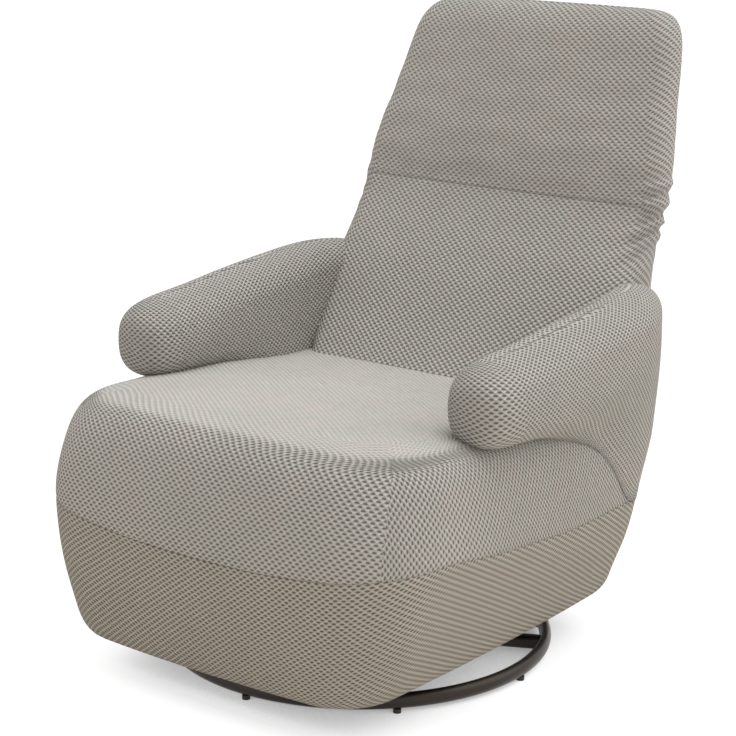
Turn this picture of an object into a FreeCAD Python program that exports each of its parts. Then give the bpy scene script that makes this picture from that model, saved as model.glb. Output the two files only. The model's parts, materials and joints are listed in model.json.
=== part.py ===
import FreeCAD, Part
import math
import os

# Swivel rocker: a padded easy chair on a round tube base. It turns on a ball
# bearing, rocks on a spindle above it, and its head pad tilts forward.
# Lengths are millimetres. Sizes are taken from the swivel axis, with the
# sitter's front towards -Y and the floor at zero. The finished pieces are then
# shifted so that the middle of the chair's footprint is the origin.

Vec = FreeCAD.Vector
X_AXIS = Vec(1, 0, 0)
Y_AXIS = Vec(0, 1, 0)
Z_AXIS = Vec(0, 0, 1)
CENTRE = Vec(0, 0, 0)

# Clearances
running_fit = 0.05
seat_gap = 0.3
overrun = 20.0

# Seat body
body_half_width = 376.0
body_front = 426.0
body_rear = 432.0
underside_height = 62.0
seam_height = 262.0
seat_height = 436.0
corner_radius = 128.0
# Height, half width, front, rear and corner radius, each as a share of its size
body_station_shares = (
    (0.000, 0.740, 0.890, 0.770, 0.62),
    (0.010, 0.790, 0.930, 0.810, 0.70),
    (0.038, 0.826, 0.952, 0.840, 0.76),
    (0.130, 0.875, 0.972, 0.872, 0.84),
    (0.290, 0.930, 0.988, 0.905, 0.90),
    (0.520, 0.976, 1.000, 0.939, 0.98),
    (0.700, 0.998, 0.998, 0.974, 1.04),
    (0.840, 1.002, 0.972, 1.000, 1.10),
    (0.915, 0.988, 0.937, 0.995, 1.12),
    (0.965, 0.945, 0.882, 0.970, 1.08),
    (0.991, 0.860, 0.790, 0.920, 1.00),
    (1.000, 0.720, 0.660, 0.840, 0.84),
)
side_crown_share = 0.022

# Back rest and head rest
back_half_width = 316.0
back_base_height = 404.0
neck_height = 706.0
top_height = 1031.0
rear_reach = 577.0
neck_front = 396.0
back_edge_radius = 40.0
back_edge_share = 0.42
back_crown_share = 0.03
# Height between base and neck, half width, front and rear as shares
back_station_shares = (
    (0.00, 0.900, 0.460, 0.742),
    (0.10, 0.935, 0.520, 0.744),
    (0.30, 0.975, 0.640, 0.744),
    (0.47, 0.995, 0.725, 0.744),
    (0.72, 0.990, 0.856, 0.762),
    (1.00, 0.980, 1.000, 0.808),
)
# Height between neck and top, half width, front from the neck's, and rear
head_station_shares = (
    (-0.14, 0.980, 0.930, 0.785),
    (0.00, 0.980, 1.000, 0.808),
    (0.20, 0.976, 1.050, 0.846),
    (0.50, 0.920, 1.140, 0.914),
    (0.80, 0.868, 1.238, 0.976),
    (0.90, 0.832, 1.274, 0.994),
    (0.96, 0.776, 1.312, 1.000),
    (0.99, 0.700, 1.348, 0.986),
    (1.00, 0.610, 1.385, 0.966),
)

# Arm pads
arm_reach = 182.0
arm_length = 560.0
arm_centre = 337.0
arm_half_width = 62.0
arm_tip_height = 498.0
arm_tip_half_height = 65.0
arm_edge_share = 0.80
arm_crown_share = 0.03
# Distance behind the tip and sideways place as shares, turn in degrees, then
# half width, underside and top as shares of the tip's
arm_station_shares = (
    (0.000, 1.000, 0.0, 0.30, -0.28, 0.28),
    (0.012, 1.000, 0.0, 0.62, -0.62, 0.62),
    (0.045, 1.000, 0.0, 0.86, -0.86, 0.84),
    (0.100, 1.000, 0.0, 0.98, -1.03, 0.97),
    (0.220, 1.003, 0.0, 1.00, -1.11, 1.09),
    (0.450, 1.012, 0.0, 1.00, -1.32, 1.27),
    (0.640, 1.012, 6.0, 1.00, -1.80, 1.43),
    (0.780, 0.985, 16.0, 0.96, -2.28, 1.60),
    (0.900, 0.922, 32.0, 0.84, -2.42, 1.66),
    (0.975, 0.860, 46.0, 0.66, -2.30, 1.52),
    (1.025, 0.805, 56.0, 0.36, -2.00, 1.20),
)

# Floor ring, its glides and the cross arms that carry the hub
ring_diameter = 650.0
ring_tube_width = 20.0
ring_tube_height = 25.0
glide_count = 8
glide_turn = 3.5
glide_diameter = 13.0
glide_height = 7.0
glide_stem_diameter = 6.0
glide_stem_length = 12.0
cross_arm_count = 4
cross_arm_turn = 25.8
cross_arm_width = 24.0
cross_arm_height = 22.0
cross_arm_edge = 8.0
cross_arm_start = 30.0
hub_diameter = 156.0
hub_thickness = 6.0

# Ball bearing and king bolt
race_thickness = 5.0
race_gap = 3.6
race_inner = 38.0
race_outer = 62.0
ball_circle = 50.0
ball_diameter = 8.0
ball_count = 20
cage_thickness = 1.2
cage_inner = 42.0
cage_outer = 58.0
king_bolt_diameter = 16.0
king_head_across = 24.0
king_head_height = 10.0
king_nut_height = 13.0
king_bolt_end = 5.0
king_washer_diameter = 34.0
king_washer_thickness = 3.0
bush_wall = 3.0
bush_flange = 5.0
bush_flange_thickness = 3.0
bush_end_gap = 1.5

# Swivel plate and the brackets that hold the rocking spindle
swivel_plate_size = 196.0
swivel_plate_thickness = 5.0
swivel_plate_corner = 20.0
spindle_height = 150.0
spindle_diameter = 16.0
spindle_end = 7.0
bracket_inner = 72.0
bracket_thickness = 6.0
bracket_base_half = 70.0
bracket_shoulder_half = 76.0
bracket_shoulder_height = 158.0
bracket_crown_half = 18.0
bracket_crown_rise = 8.0
bracket_foot_width = 20.0
bracket_bolt_spread = 50.0
bracket_bolt_diameter = 8.0
circlip_thickness = 1.5
circlip_depth = 0.8
circlip_rim = 3.0
circlip_slot = 5.0
circlip_inset = 1.0

# Rocker frame, its bushes, springs and stops
rock_angle = 5.0
rocker_half_width = 105.0
rocker_half_depth = 102.0
rocker_underside = 174.0
rocker_thickness = 5.0
lug_outer = 63.0
lug_thickness = 5.0
lug_top_half = 45.0
lug_foot_half = 18.0
lug_drop = 39.0
rock_bush_wall = 3.0
rock_bush_flange = 4.0
rock_bush_flange_thickness = 3.0
spacer_wall = 5.0
spring_spread_x = 30.0
spring_spread_y = 72.0
spring_radius = 13.0
spring_wire = 4.4
spring_turns = 6
spring_cup_radius = 20.0
spring_cup_thickness = 3.0
spring_boss_radius = 9.0
spring_boss_height = 12.0
stop_spread = 66.0
stop_radius = 8.0
rocker_bolt_x = 88.0
rocker_bolt_y = 76.0
rocker_bolt_diameter = 8.0

# Bolt heads and nuts, as shares of the bolt's diameter
head_across_share = 1.7
head_height_share = 0.65
nut_height_share = 0.8
hole_share = 1.06

# Seat frame of boards
board_thickness = 18.0
side_board_outer = 272.0
front_board_face = 340.0
rear_board_face = 300.0
board_underside = 78.0
cross_rail_width = 60.0
cross_rail_height = 26.0
corner_block_leg = 50.0
corner_block_height = 40.0
corner_block_drop = 12.0
dust_cover_thickness = 2.0
dust_cover_opening = 125.0

# Zigzag seat springs and their clips
seat_spring_count = 5
seat_spring_step = 85.0
seat_spring_wire = 3.8
seat_spring_bends = 20
seat_spring_bar = 26.0
clip_width = 22.0
clip_depth = 12.0
clip_thickness = 1.5
spring_pocket_height = 14.0

# Back frame
back_board_foot = 110.0
back_board_foot_depth = 82.0
back_board_front_low = 262.0
back_board_front_high = 405.0
back_board_rear_low = 322.0
back_board_rear_high = 440.0
back_board_low_rise = 26.0
back_board_neck_gap = 30.0
lower_rail_front = 300.0
lower_rail_height = 60.0
lower_rail_drop = 5.0
top_rail_front = 404.0
top_rail_depth = 20.0
top_rail_height = 40.0
top_rail_drop = 39.0
strap_count = 4
strap_width = 40.0
strap_thickness = 2.0

# Arm tubes
arm_tube_diameter = 25.0
arm_tube_wall = 2.0
arm_tube_rise = 14.0
arm_tube_bend = 50.0
arm_tube_front = 140.0
flange_width = 40.0
flange_height = 80.0
flange_thickness = 5.0
flange_bolt_spread = 56.0
flange_bolt_diameter = 6.0

# Head rest hinge and board
hinge_depth = 22.0
hinge_lean = 25.0
knuckle_radius = 25.0
knuckle_gap = 1.6
neck_gap = 0.5
hinge_place = 150.0
hinge_thickness = 4.0
hinge_eye = 13.0
hinge_arm_half = 7.0
hinge_slot_front = 205.0
hinge_slot_rear = 292.0
hinge_slot_reach = 37.0
hinge_disc_thickness = 1.8
hinge_side_gap = 0.1
hinge_pin_diameter = 8.0
hinge_pin_head = 3.0
hinge_tail_drop = 60.0
hinge_tail_shift = 5.0
hinge_tongue_rise = 78.0
hinge_tongue_shift = 30.0
head_board_half_width = 196.0
head_board_thickness = 12.0
head_board_low_y = 444.0
head_board_neck_gap = 32.0
head_board_high_y = 530.0
head_board_top_gap = 46.0

out_dir = "parts"

# Places that follow from the sizes above
ring_radius = (ring_diameter - ring_tube_width) / 2
ring_level = glide_height + ring_tube_height / 2
hub_underside = ring_level + cross_arm_height / 2
hub_top = hub_underside + hub_thickness
ball_level = hub_top + race_thickness + race_gap / 2
swivel_underside = hub_top + 2 * race_thickness + race_gap
swivel_top = swivel_underside + swivel_plate_thickness
king_radius = king_bolt_diameter / 2
bush_top = swivel_top + bush_flange_thickness
nut_base = bush_top + seat_gap + king_washer_thickness
rocker_top = rocker_underside + rocker_thickness
board_inner = side_board_outer - board_thickness
back_board_inner = board_inner - board_thickness
back_board_low = back_base_height + back_board_low_rise
back_board_high = neck_height - back_board_neck_gap
lower_rail_underside = back_board_low - lower_rail_drop
top_rail_underside = back_board_high - top_rail_drop
arm_tube_height = arm_tip_height + arm_tube_rise
head_board_low = neck_height + head_board_neck_gap
head_board_high = top_height - head_board_top_gap
hinge_y = neck_front + hinge_depth
footprint_middle = (rear_reach - body_front) / 2


def box(x0, x1, y0, y1, z0, z1):
    return Part.makeBox(x1 - x0, y1 - y0, z1 - z0, Vec(x0, y0, z0))


def rod(radius, length, start, direction=Z_AXIS):
    return Part.makeCylinder(radius, length, start, direction)


def tube(inner, outer, length, start, direction=Z_AXIS):
    return rod(outer, length, start, direction).cut(rod(inner, length, start, direction))


def hexagon(across, height, start, direction=Z_AXIS):
    """Six-sided bolt head or nut blank standing on start."""
    radius = across / math.sqrt(3)
    corners = []
    for index in range(7):
        angle = math.radians(60 * index)
        corners.append(Vec(radius * math.cos(angle), radius * math.sin(angle), 0))
    prism = Part.Face(Part.makePolygon(corners)).extrude(Z_AXIS * height)
    prism.Placement = FreeCAD.Placement(start, FreeCAD.Rotation(Z_AXIS, direction))
    return prism


def plate_yz(points, x0, x1):
    """Plate lying across X whose outline is a list of (y, z) points."""
    corners = [Vec(x0, y, z) for y, z in points]
    return Part.Face(Part.makePolygon(corners + corners[:1])).extrude(X_AXIS * (x1 - x0))


def rounded(shape, radius, direction):
    """Rounds the edges of a straight solid that run along one direction."""
    edges = []
    for edge in shape.Edges:
        run = edge.lastVertex().Point - edge.firstVertex().Point
        if run.Length and abs(run.normalize().dot(direction)) > 0.99:
            edges.append(edge)
    return shape.makeFillet(radius, edges)


def mirrored(shape):
    return shape.mirror(CENTRE, X_AXIS)


def pair(shape):
    return [shape, mirrored(shape)]


def group(solids):
    return Part.makeCompound(solids)


def around(shape, count, turn):
    """Copies of a shape spaced evenly round the swivel axis."""
    copies = []
    for index in range(count):
        copy = shape.copy()
        copy.rotate(CENTRE, Z_AXIS, turn + index * 360 / count)
        copies.append(copy)
    return copies


def four_places(x, y, z):
    return [Vec(sx * x, sy * y, z) for sx in (-1, 1) for sy in (-1, 1)]


def crowned_outline(half_width, front, rear, radius, crown):
    """Closed wire of eight tangent arcs in the XY plane, bowed out by crown."""
    corner_x = half_width - radius - crown
    half_depth = (rear - front) / 2 - radius - crown
    middle = (front + rear) / 2
    side_bow = bow_radius(half_depth, radius, crown)
    end_bow = bow_radius(corner_x, radius, crown)
    corners = [
        Vec(corner_x, middle - half_depth, 0),
        Vec(corner_x, middle + half_depth, 0),
        Vec(-corner_x, middle + half_depth, 0),
        Vec(-corner_x, middle - half_depth, 0),
    ]
    bows = (
        (Vec(half_width - side_bow, middle, 0), side_bow, Vec(half_width, middle, 0)),
        (Vec(0, rear - end_bow, 0), end_bow, Vec(0, rear, 0)),
        (Vec(side_bow - half_width, middle, 0), side_bow, Vec(-half_width, middle, 0)),
        (Vec(0, front + end_bow, 0), end_bow, Vec(0, front, 0)),
    )
    edges = []
    for index, corner in enumerate(corners):
        start = touch_point(bows[index - 1], corner)
        end = touch_point(bows[index], corner)
        outward = ((start - corner) + (end - corner)).normalize()
        far_end = touch_point(bows[index], corners[(index + 1) % 4])
        edges.append(Part.Arc(start, corner + outward * radius, end).toShape())
        edges.append(Part.Arc(end, bows[index][2], far_end).toShape())
    return Part.Wire(edges)


def bow_radius(half_chord, radius, crown):
    """Radius of the bowed side that is tangent to two equal corner arcs."""
    return (half_chord * half_chord + crown * crown + 2 * radius * crown) / (2 * crown)


def touch_point(bow, corner):
    """Point where a corner arc meets the large arc beside it."""
    direction = corner - bow[0]
    return bow[0] + direction.normalize() * bow[1]


def loft(sections):
    return Part.makeLoft(sections, True, False)


def body_section(station):
    height, width, front, rear, corner = station
    half_width = body_half_width * width
    wire = crowned_outline(
        half_width,
        -body_front * front,
        body_rear * rear,
        corner_radius * corner,
        half_width * side_crown_share,
    )
    wire.translate(Vec(0, 0, underside_height + height * (seat_height - underside_height)))
    return wire


def seat_form():
    return loft([body_section(station) for station in body_station_shares])


def back_section(station, low, high):
    height, width, front_share, rear_share = station
    front = neck_front * front_share
    rear = rear_reach * rear_share
    depth = rear - front
    edge = min(back_edge_radius, depth * back_edge_share)
    wire = crowned_outline(back_half_width * width, front, rear, edge, depth * back_crown_share)
    wire.translate(Vec(0, 0, low + height * (high - low)))
    return wire


def back_form():
    stations = back_station_shares
    return loft([back_section(station, back_base_height, neck_height) for station in stations])


def head_form():
    stations = head_station_shares
    return loft([back_section(station, neck_height, top_height) for station in stations])


def arm_section(station):
    run, side, turn, width, low_share, high_share = station
    half_width = arm_half_width * width
    low = arm_tip_half_height * low_share
    high = arm_tip_half_height * high_share
    edge = min(half_width, (high - low) / 2) * arm_edge_share
    wire = crowned_outline(half_width, low, high, edge, half_width * arm_crown_share)
    wire.rotate(CENTRE, X_AXIS, 90)
    wire.rotate(CENTRE, Z_AXIS, turn)
    wire.translate(Vec(arm_centre * side, run * arm_length - arm_reach, arm_tip_height))
    return wire


def arm_form():
    return loft([arm_section(station) for station in arm_station_shares])


# Floor base


def ring_tube(margin):
    """Oval tube bent to a full circle, grown by margin."""
    centre = Vec(ring_radius, 0, ring_level)
    top = centre + Z_AXIS * (ring_tube_height / 2 + margin)
    side = centre + X_AXIS * (ring_tube_width / 2 + margin)
    oval = Part.Wire(Part.Ellipse(top, side, centre).toShape())
    return Part.Face(oval).revolve(CENTRE, Z_AXIS, 360)


def glide_stem(margin):
    start = Vec(ring_radius, 0, glide_height)
    return rod(glide_stem_diameter / 2 + margin, glide_stem_length + margin, start)


def base_ring():
    return ring_tube(0).cut(group(around(glide_stem(running_fit), glide_count, glide_turn)))


def glides():
    foot = rod(glide_diameter / 2, glide_height, Vec(ring_radius, 0, 0))
    return group(around(foot.fuse(glide_stem(0)).removeSplitter(), glide_count, glide_turn))


def cross_arms():
    half = cross_arm_width / 2
    low = hub_underside - cross_arm_height
    bar = box(cross_arm_start, ring_radius, -half, half, low, hub_underside)
    bar = rounded(bar, cross_arm_edge, X_AXIS).cut(ring_tube(seat_gap))
    return group(around(bar, cross_arm_count, cross_arm_turn))


def hub_disc():
    return tube(king_radius + running_fit, hub_diameter / 2, hub_thickness, Vec(0, 0, hub_underside))


def race(base):
    ring = tube(race_inner, race_outer, race_thickness, Vec(0, 0, base))
    groove = Part.makeTorus(ball_circle, ball_diameter / 2 + running_fit, Vec(0, 0, ball_level))
    return ring.cut(groove)


def bearing_balls():
    ball = Part.makeSphere(ball_diameter / 2, Vec(ball_circle, 0, ball_level))
    return group(around(ball, ball_count, 0))


def ball_cage():
    base = Vec(0, 0, ball_level - cage_thickness / 2)
    ring = tube(cage_inner, cage_outer, cage_thickness, base)
    hole = rod(ball_diameter / 2 + seat_gap, cage_thickness, base + X_AXIS * ball_circle)
    return ring.cut(group(around(hole, ball_count, 0)))


def king_bolt():
    base = Vec(0, 0, hub_underside - king_head_height)
    head = hexagon(king_head_across, king_head_height, base)
    length = nut_base + king_nut_height + king_bolt_end - hub_underside
    return head.fuse(rod(king_radius, length, Vec(0, 0, hub_underside))).removeSplitter()


def king_washer():
    base = Vec(0, 0, nut_base - king_washer_thickness)
    return tube(king_radius + running_fit, king_washer_diameter / 2, king_washer_thickness, base)


def king_nut():
    base = Vec(0, 0, nut_base)
    return hexagon(king_head_across, king_nut_height, base).cut(
        rod(king_radius + running_fit, king_nut_height, base)
    )


# Turning frame


def swivel_plate():
    half = swivel_plate_size / 2
    plate = box(-half, half, -half, half, swivel_underside, swivel_top)
    plate = rounded(plate, swivel_plate_corner, Z_AXIS)
    bush_hole = king_radius + running_fit + bush_wall + running_fit
    cuts = [rod(bush_hole, swivel_plate_thickness, Vec(0, 0, swivel_underside))]
    for place in bracket_bolt_places(swivel_underside):
        radius = bracket_bolt_diameter / 2 * hole_share
        cuts.append(rod(radius, swivel_plate_thickness, place))
    return plate.cut(group(cuts))


def pivot_bush():
    inner = king_radius + running_fit
    outer = inner + bush_wall
    base = hub_top + bush_end_gap
    sleeve = tube(inner, outer, swivel_top - base, Vec(0, 0, base))
    flange = tube(inner, outer + bush_flange, bush_flange_thickness, Vec(0, 0, swivel_top))
    return sleeve.fuse(flange).removeSplitter()


def bracket_bolt_places(level):
    x = bracket_inner + bracket_thickness + bracket_foot_width / 2
    return four_places(x, bracket_bolt_spread, level)


def tilt_brackets():
    outer = bracket_inner + bracket_thickness
    crown = bracket_shoulder_height + bracket_crown_rise
    ear = plate_yz(
        [
            (-bracket_base_half, swivel_top),
            (bracket_base_half, swivel_top),
            (bracket_shoulder_half, bracket_shoulder_height),
            (bracket_crown_half + bracket_crown_rise, bracket_shoulder_height),
            (bracket_crown_half, crown),
            (-bracket_crown_half, crown),
            (-bracket_crown_half - bracket_crown_rise, bracket_shoulder_height),
            (-bracket_shoulder_half, bracket_shoulder_height),
        ],
        bracket_inner,
        outer,
    )
    half = bracket_base_half
    foot_top = swivel_top + bracket_thickness
    foot = box(outer, outer + bracket_foot_width, -half, half, swivel_top, foot_top)
    bracket = ear.fuse(foot).removeSplitter()
    hole_start = Vec(bracket_inner, 0, spindle_height)
    bore = rod(spindle_diameter / 2 + running_fit, bracket_thickness, hole_start, X_AXIS)
    bracket = bracket.cut(bore)
    holes = []
    for place in bracket_bolt_places(swivel_top):
        holes.append(rod(bracket_bolt_diameter / 2 * hole_share, bracket_thickness, place))
    return group([half_bracket.cut(group(holes)) for half_bracket in pair(bracket)])


def bolt(diameter, grip, place):
    """Bolt with its head on top of a grip that ends at place, plus its nut's height."""
    tail = diameter * nut_height_share + diameter / 4
    shank = rod(diameter / 2, grip + tail, place - Z_AXIS * tail)
    head = hexagon(diameter * head_across_share, diameter * head_height_share, place + Z_AXIS * grip)
    return shank.fuse(head).removeSplitter()


def nut(diameter, place):
    height = diameter * nut_height_share
    base = place - Z_AXIS * height
    blank = hexagon(diameter * head_across_share, height, base)
    return blank.cut(rod(diameter / 2 + running_fit, height, base))


def bracket_bolts():
    grip = swivel_plate_thickness + bracket_thickness
    places = bracket_bolt_places(swivel_underside)
    return group([bolt(bracket_bolt_diameter, grip, place) for place in places])


def bracket_nuts():
    places = bracket_bolt_places(swivel_underside)
    return group([nut(bracket_bolt_diameter, place) for place in places])


def spindle_half_length():
    return bracket_inner + bracket_thickness + spindle_end


def circlip_face():
    return bracket_inner + bracket_thickness + circlip_inset


def rock_spindle():
    half = spindle_half_length()
    radius = spindle_diameter / 2
    shaft = rod(radius, 2 * half, Vec(-half, 0, spindle_height), X_AXIS)
    start = Vec(circlip_face(), 0, spindle_height)
    groove = tube(radius - circlip_depth, radius + overrun, circlip_thickness, start, X_AXIS)
    return shaft.cut(group(pair(groove)))


def spindle_circlips():
    inner = spindle_diameter / 2 - circlip_depth + running_fit
    start = Vec(circlip_face(), 0, spindle_height)
    ring = tube(inner, spindle_diameter / 2 + circlip_rim, circlip_thickness, start, X_AXIS)
    half = circlip_slot / 2
    far = circlip_face() + circlip_thickness
    slot = box(circlip_face(), far, -half, half, spindle_height, spindle_height + overrun)
    return group(pair(ring.cut(slot)))


def spindle_spacers():
    inner = spindle_diameter / 2 + running_fit
    near = lug_outer + rock_bush_flange_thickness + seat_gap
    start = Vec(near, 0, spindle_height)
    return group(pair(tube(inner, inner + spacer_wall, bracket_inner - near, start, X_AXIS)))


def spring_seats(base, direction):
    """Cup and boss that locate the end of each rocker spring."""
    seats = []
    for place in four_places(spring_spread_x, spring_spread_y, base):
        cup = rod(spring_cup_radius, spring_cup_thickness, place, direction)
        length = spring_cup_thickness + spring_boss_height
        seats.append(cup.fuse(rod(spring_boss_radius, length, place, direction)).removeSplitter())
    return group(seats)


# Rocker springs


def biarc(start, start_way, end, end_way):
    """Two tangent arcs that leave start and reach end in the given directions."""
    chord = end - start
    both = start_way + end_way
    turn = 2 * (1 - start_way.dot(end_way))
    reach = chord.dot(both)
    arm = (math.sqrt(reach * reach + turn * chord.dot(chord)) - reach) / turn
    joint = (start + start_way * arm + end - end_way * arm) / 2
    return [
        arc_by_corner(start, start + start_way * arm, joint),
        arc_by_corner(joint, end - end_way * arm, end),
    ]


def arc_by_corner(start, corner, end):
    """Arc from start to end whose end tangents meet at corner."""
    middle = (start + end) / 2
    rise = (corner - middle).Length
    half_chord = (end - start).Length / 2
    sagitta = half_chord * math.tan(math.atan2(rise, half_chord) / 2)
    return Part.Arc(start, middle + (corner - middle).normalize() * sagitta, end).toShape()


def coil_spring(centre, low, high):
    """One round wire wound on quarter turns, with a straight length at each end."""
    steps = spring_turns * 4
    rise = (high - low) / steps
    slope = rise / (spring_radius * math.pi / 2)
    points = []
    ways = []
    for step in range(steps + 1):
        angle = step * math.pi / 2
        across = Vec(math.cos(angle), math.sin(angle), 0)
        points.append(centre + across * spring_radius + Z_AXIS * (low + rise * step))
        ways.append(Vec(-math.sin(angle), math.cos(angle), slope).normalize())
    edges = [Part.LineSegment(points[0] - ways[0] * spring_wire, points[0]).toShape()]
    for step in range(steps):
        edges += biarc(points[step], ways[step], points[step + 1], ways[step + 1])
    edges.append(Part.LineSegment(points[-1], points[-1] + ways[-1] * spring_wire).toShape())
    print("rocker spring turns clear each other by", round(rise * 4 - spring_wire, 2))
    return swept_wire(edges, spring_wire)


def swept_wire(edges, diameter):
    path = Part.Wire(edges)
    start = edges[0].firstVertex().Point
    way = edges[0].tangentAt(edges[0].FirstParameter)
    profile = Part.Wire(Part.makeCircle(diameter / 2, start, way))
    return path.makePipeShell([profile], True, False)


def rock_springs(side):
    low = swivel_top + spring_cup_thickness + spring_wire / 2 + seat_gap
    high = rocker_underside - spring_cup_thickness - spring_wire / 2 - seat_gap
    rise = (high - low) / (spring_turns * 4)
    tail = spring_wire * rise / (spring_radius * math.pi / 2)
    place = Vec(spring_spread_x, side * spring_spread_y, 0)
    spring = coil_spring(place, low + tail, high - tail)
    return group(pair(spring))


# Rocking frame


def rocker_bolt_places(level):
    return four_places(rocker_bolt_x, rocker_bolt_y, level)


def rocker_frame():
    plate = box(
        -rocker_half_width,
        rocker_half_width,
        -rocker_half_depth,
        rocker_half_depth,
        rocker_underside,
        rocker_top,
    )
    plate = rounded(plate, swivel_plate_corner, Z_AXIS)
    foot = rocker_underside - lug_drop
    lug = plate_yz(
        [
            (-lug_top_half, rocker_underside),
            (lug_top_half, rocker_underside),
            (lug_foot_half, foot),
            (-lug_foot_half, foot),
        ],
        lug_outer - lug_thickness,
        lug_outer,
    )
    frame = plate.fuse(pair(lug)).removeSplitter()
    radius = spindle_diameter / 2 + running_fit + rock_bush_wall + running_fit
    bore = rod(radius, 2 * lug_outer, Vec(-lug_outer, 0, spindle_height), X_AXIS)
    cuts = [bore]
    for place in rocker_bolt_places(rocker_underside):
        cuts.append(rod(rocker_bolt_diameter / 2 * hole_share, rocker_thickness, place))
    return frame.cut(group(cuts))


def rock_bushes():
    inner = spindle_diameter / 2 + running_fit
    outer = inner + rock_bush_wall
    start = Vec(lug_outer - lug_thickness, 0, spindle_height)
    sleeve = tube(inner, outer, lug_thickness, start, X_AXIS)
    collar = Vec(lug_outer, 0, spindle_height)
    flange = tube(inner, outer + rock_bush_flange, rock_bush_flange_thickness, collar, X_AXIS)
    return group(pair(sleeve.fuse(flange).removeSplitter()))


def rock_stops():
    """Rubber buttons that meet the bracket shoulders at the end of the rock."""
    angle = math.radians(rock_angle)
    outer = stop_spread + stop_radius
    rise = bracket_shoulder_height - spindle_height + seat_gap + outer * math.sin(angle)
    height = rocker_underside - spindle_height - rise / math.cos(angle)
    x = bracket_inner + bracket_thickness / 2
    places = four_places(x, stop_spread, rocker_underside - height)
    return group([rod(stop_radius, height, place) for place in places])


def cross_rails():
    rails = []
    high = rocker_top + cross_rail_height
    half = cross_rail_width / 2
    for side in (-1, 1):
        middle = side * rocker_bolt_y
        rail = box(-board_inner, board_inner, middle - half, middle + half, rocker_top, high)
        rails.append(rail)
    holes = []
    for place in rocker_bolt_places(rocker_top):
        holes.append(rod(rocker_bolt_diameter / 2 * hole_share, cross_rail_height, place))
    return group([rail.cut(group(holes)) for rail in rails])


def rocker_bolts():
    grip = rocker_thickness + cross_rail_height
    places = rocker_bolt_places(rocker_underside)
    return group([bolt(rocker_bolt_diameter, grip, place) for place in places])


def rocker_nuts():
    places = rocker_bolt_places(rocker_underside)
    return group([nut(rocker_bolt_diameter, place) for place in places])


# Seat frame


def seat_side_boards():
    faces = (-front_board_face, rear_board_face)
    board = box(board_inner, side_board_outer, *faces, board_underside, seam_height)
    return group(pair(board))


def seat_front_board():
    rear = board_thickness - front_board_face
    return box(-board_inner, board_inner, -front_board_face, rear, board_underside, seam_height)


def seat_rear_board():
    front = rear_board_face - board_thickness
    return box(-board_inner, board_inner, front, rear_board_face, board_underside, seam_height)


def corner_blocks():
    blocks = []
    high = seam_height - corner_block_drop
    low = high - corner_block_height
    front = board_thickness - front_board_face
    rear = rear_board_face - board_thickness
    inner = board_inner
    for y, way in ((front, 1), (rear, -1)):
        leg = way * corner_block_leg
        if way > 0:
            inner = board_inner
        else:
            inner = back_board_inner
        corners = [
            Vec(inner, y, low),
            Vec(inner - corner_block_leg, y, low),
            Vec(inner, y + leg, low),
            Vec(inner, y, low),
        ]
        blocks += pair(Part.Face(Part.makePolygon(corners)).extrude(Z_AXIS * (high - low)))
    return group(blocks)


def dust_cover():
    level = board_underside - dust_cover_thickness
    sheet = box(
        -side_board_outer,
        side_board_outer,
        -front_board_face,
        rear_board_face,
        level,
        board_underside,
    )
    hole = dust_cover_opening
    return sheet.cut(box(-hole, hole, -hole, hole, level, board_underside))


def seat_spring_places():
    middle = (seat_spring_count - 1) / 2
    return [(index - middle) * seat_spring_step for index in range(seat_spring_count)]


def spring_bar_ends():
    """Y of the first and last bar, which lie along the middle of the boards."""
    return board_thickness / 2 - front_board_face, rear_board_face - board_thickness / 2


def seat_spring_level():
    return seam_height + clip_thickness + seat_gap + seat_spring_wire / 2


def zigzag_spring(x):
    """Flat wire spring: straight bars joined by half turns, side to side."""
    first, last = spring_bar_ends()
    radius = (last - first) / seat_spring_bends / 2
    level = seat_spring_level()
    half = seat_spring_bar / 2
    side = 1
    y = first
    edges = [Part.LineSegment(Vec(x - half, y, level), Vec(x + half, y, level)).toShape()]
    for bend in range(seat_spring_bends):
        turn_x = x + side * half
        start = Vec(turn_x, y, level)
        apex = Vec(turn_x + side * radius, y + radius, level)
        end = Vec(turn_x, y + 2 * radius, level)
        edges.append(Part.Arc(start, apex, end).toShape())
        y += 2 * radius
        edges.append(Part.LineSegment(end, Vec(x - side * half, y, level)).toShape())
        side = -side
    return swept_wire(edges, seat_spring_wire)


def seat_springs():
    return group([zigzag_spring(x) for x in seat_spring_places()])


def spring_clips():
    """Folded strips on the boards that hold the end bars of the springs."""
    clips = []
    bar = seat_spring_level()
    lip = bar + seat_spring_wire / 2 + seat_gap
    half = clip_width / 2
    for y, way in zip(spring_bar_ends(), (1, -1)):
        outer = y - way * clip_depth / 2
        inner = y + way * clip_depth / 2
        wall = outer - way * clip_thickness
        low, high = min(wall, inner), max(wall, inner)
        wall_low, wall_high = min(wall, outer), max(wall, outer)
        for x in seat_spring_places():
            edges = (x - half, x + half)
            foot = box(*edges, low, high, seam_height, seam_height + clip_thickness)
            top = box(*edges, low, high, lip, lip + clip_thickness)
            back = box(*edges, wall_low, wall_high, seam_height, lip + clip_thickness)
            clips.append(foot.fuse([top, back]).removeSplitter())
    return group(clips)


def lower_pads(form):
    """The padding below the seam, split along the faces of the boards."""
    wide = body_half_width + overrun
    front = -front_board_face
    rear = rear_board_face
    far = body_rear + overrun
    levels = (underside_height - overrun, seam_height)
    side = side_board_outer
    return {
        "lower_pad_front": form.common(box(-wide, wide, -far, front, *levels)),
        "lower_pad_rear": form.common(box(-wide, wide, rear, far, *levels)),
        "lower_pad_left": form.common(box(side, wide, front, rear, *levels)),
        "lower_pad_right": form.common(box(-wide, -side, front, rear, *levels)),
    }


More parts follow.
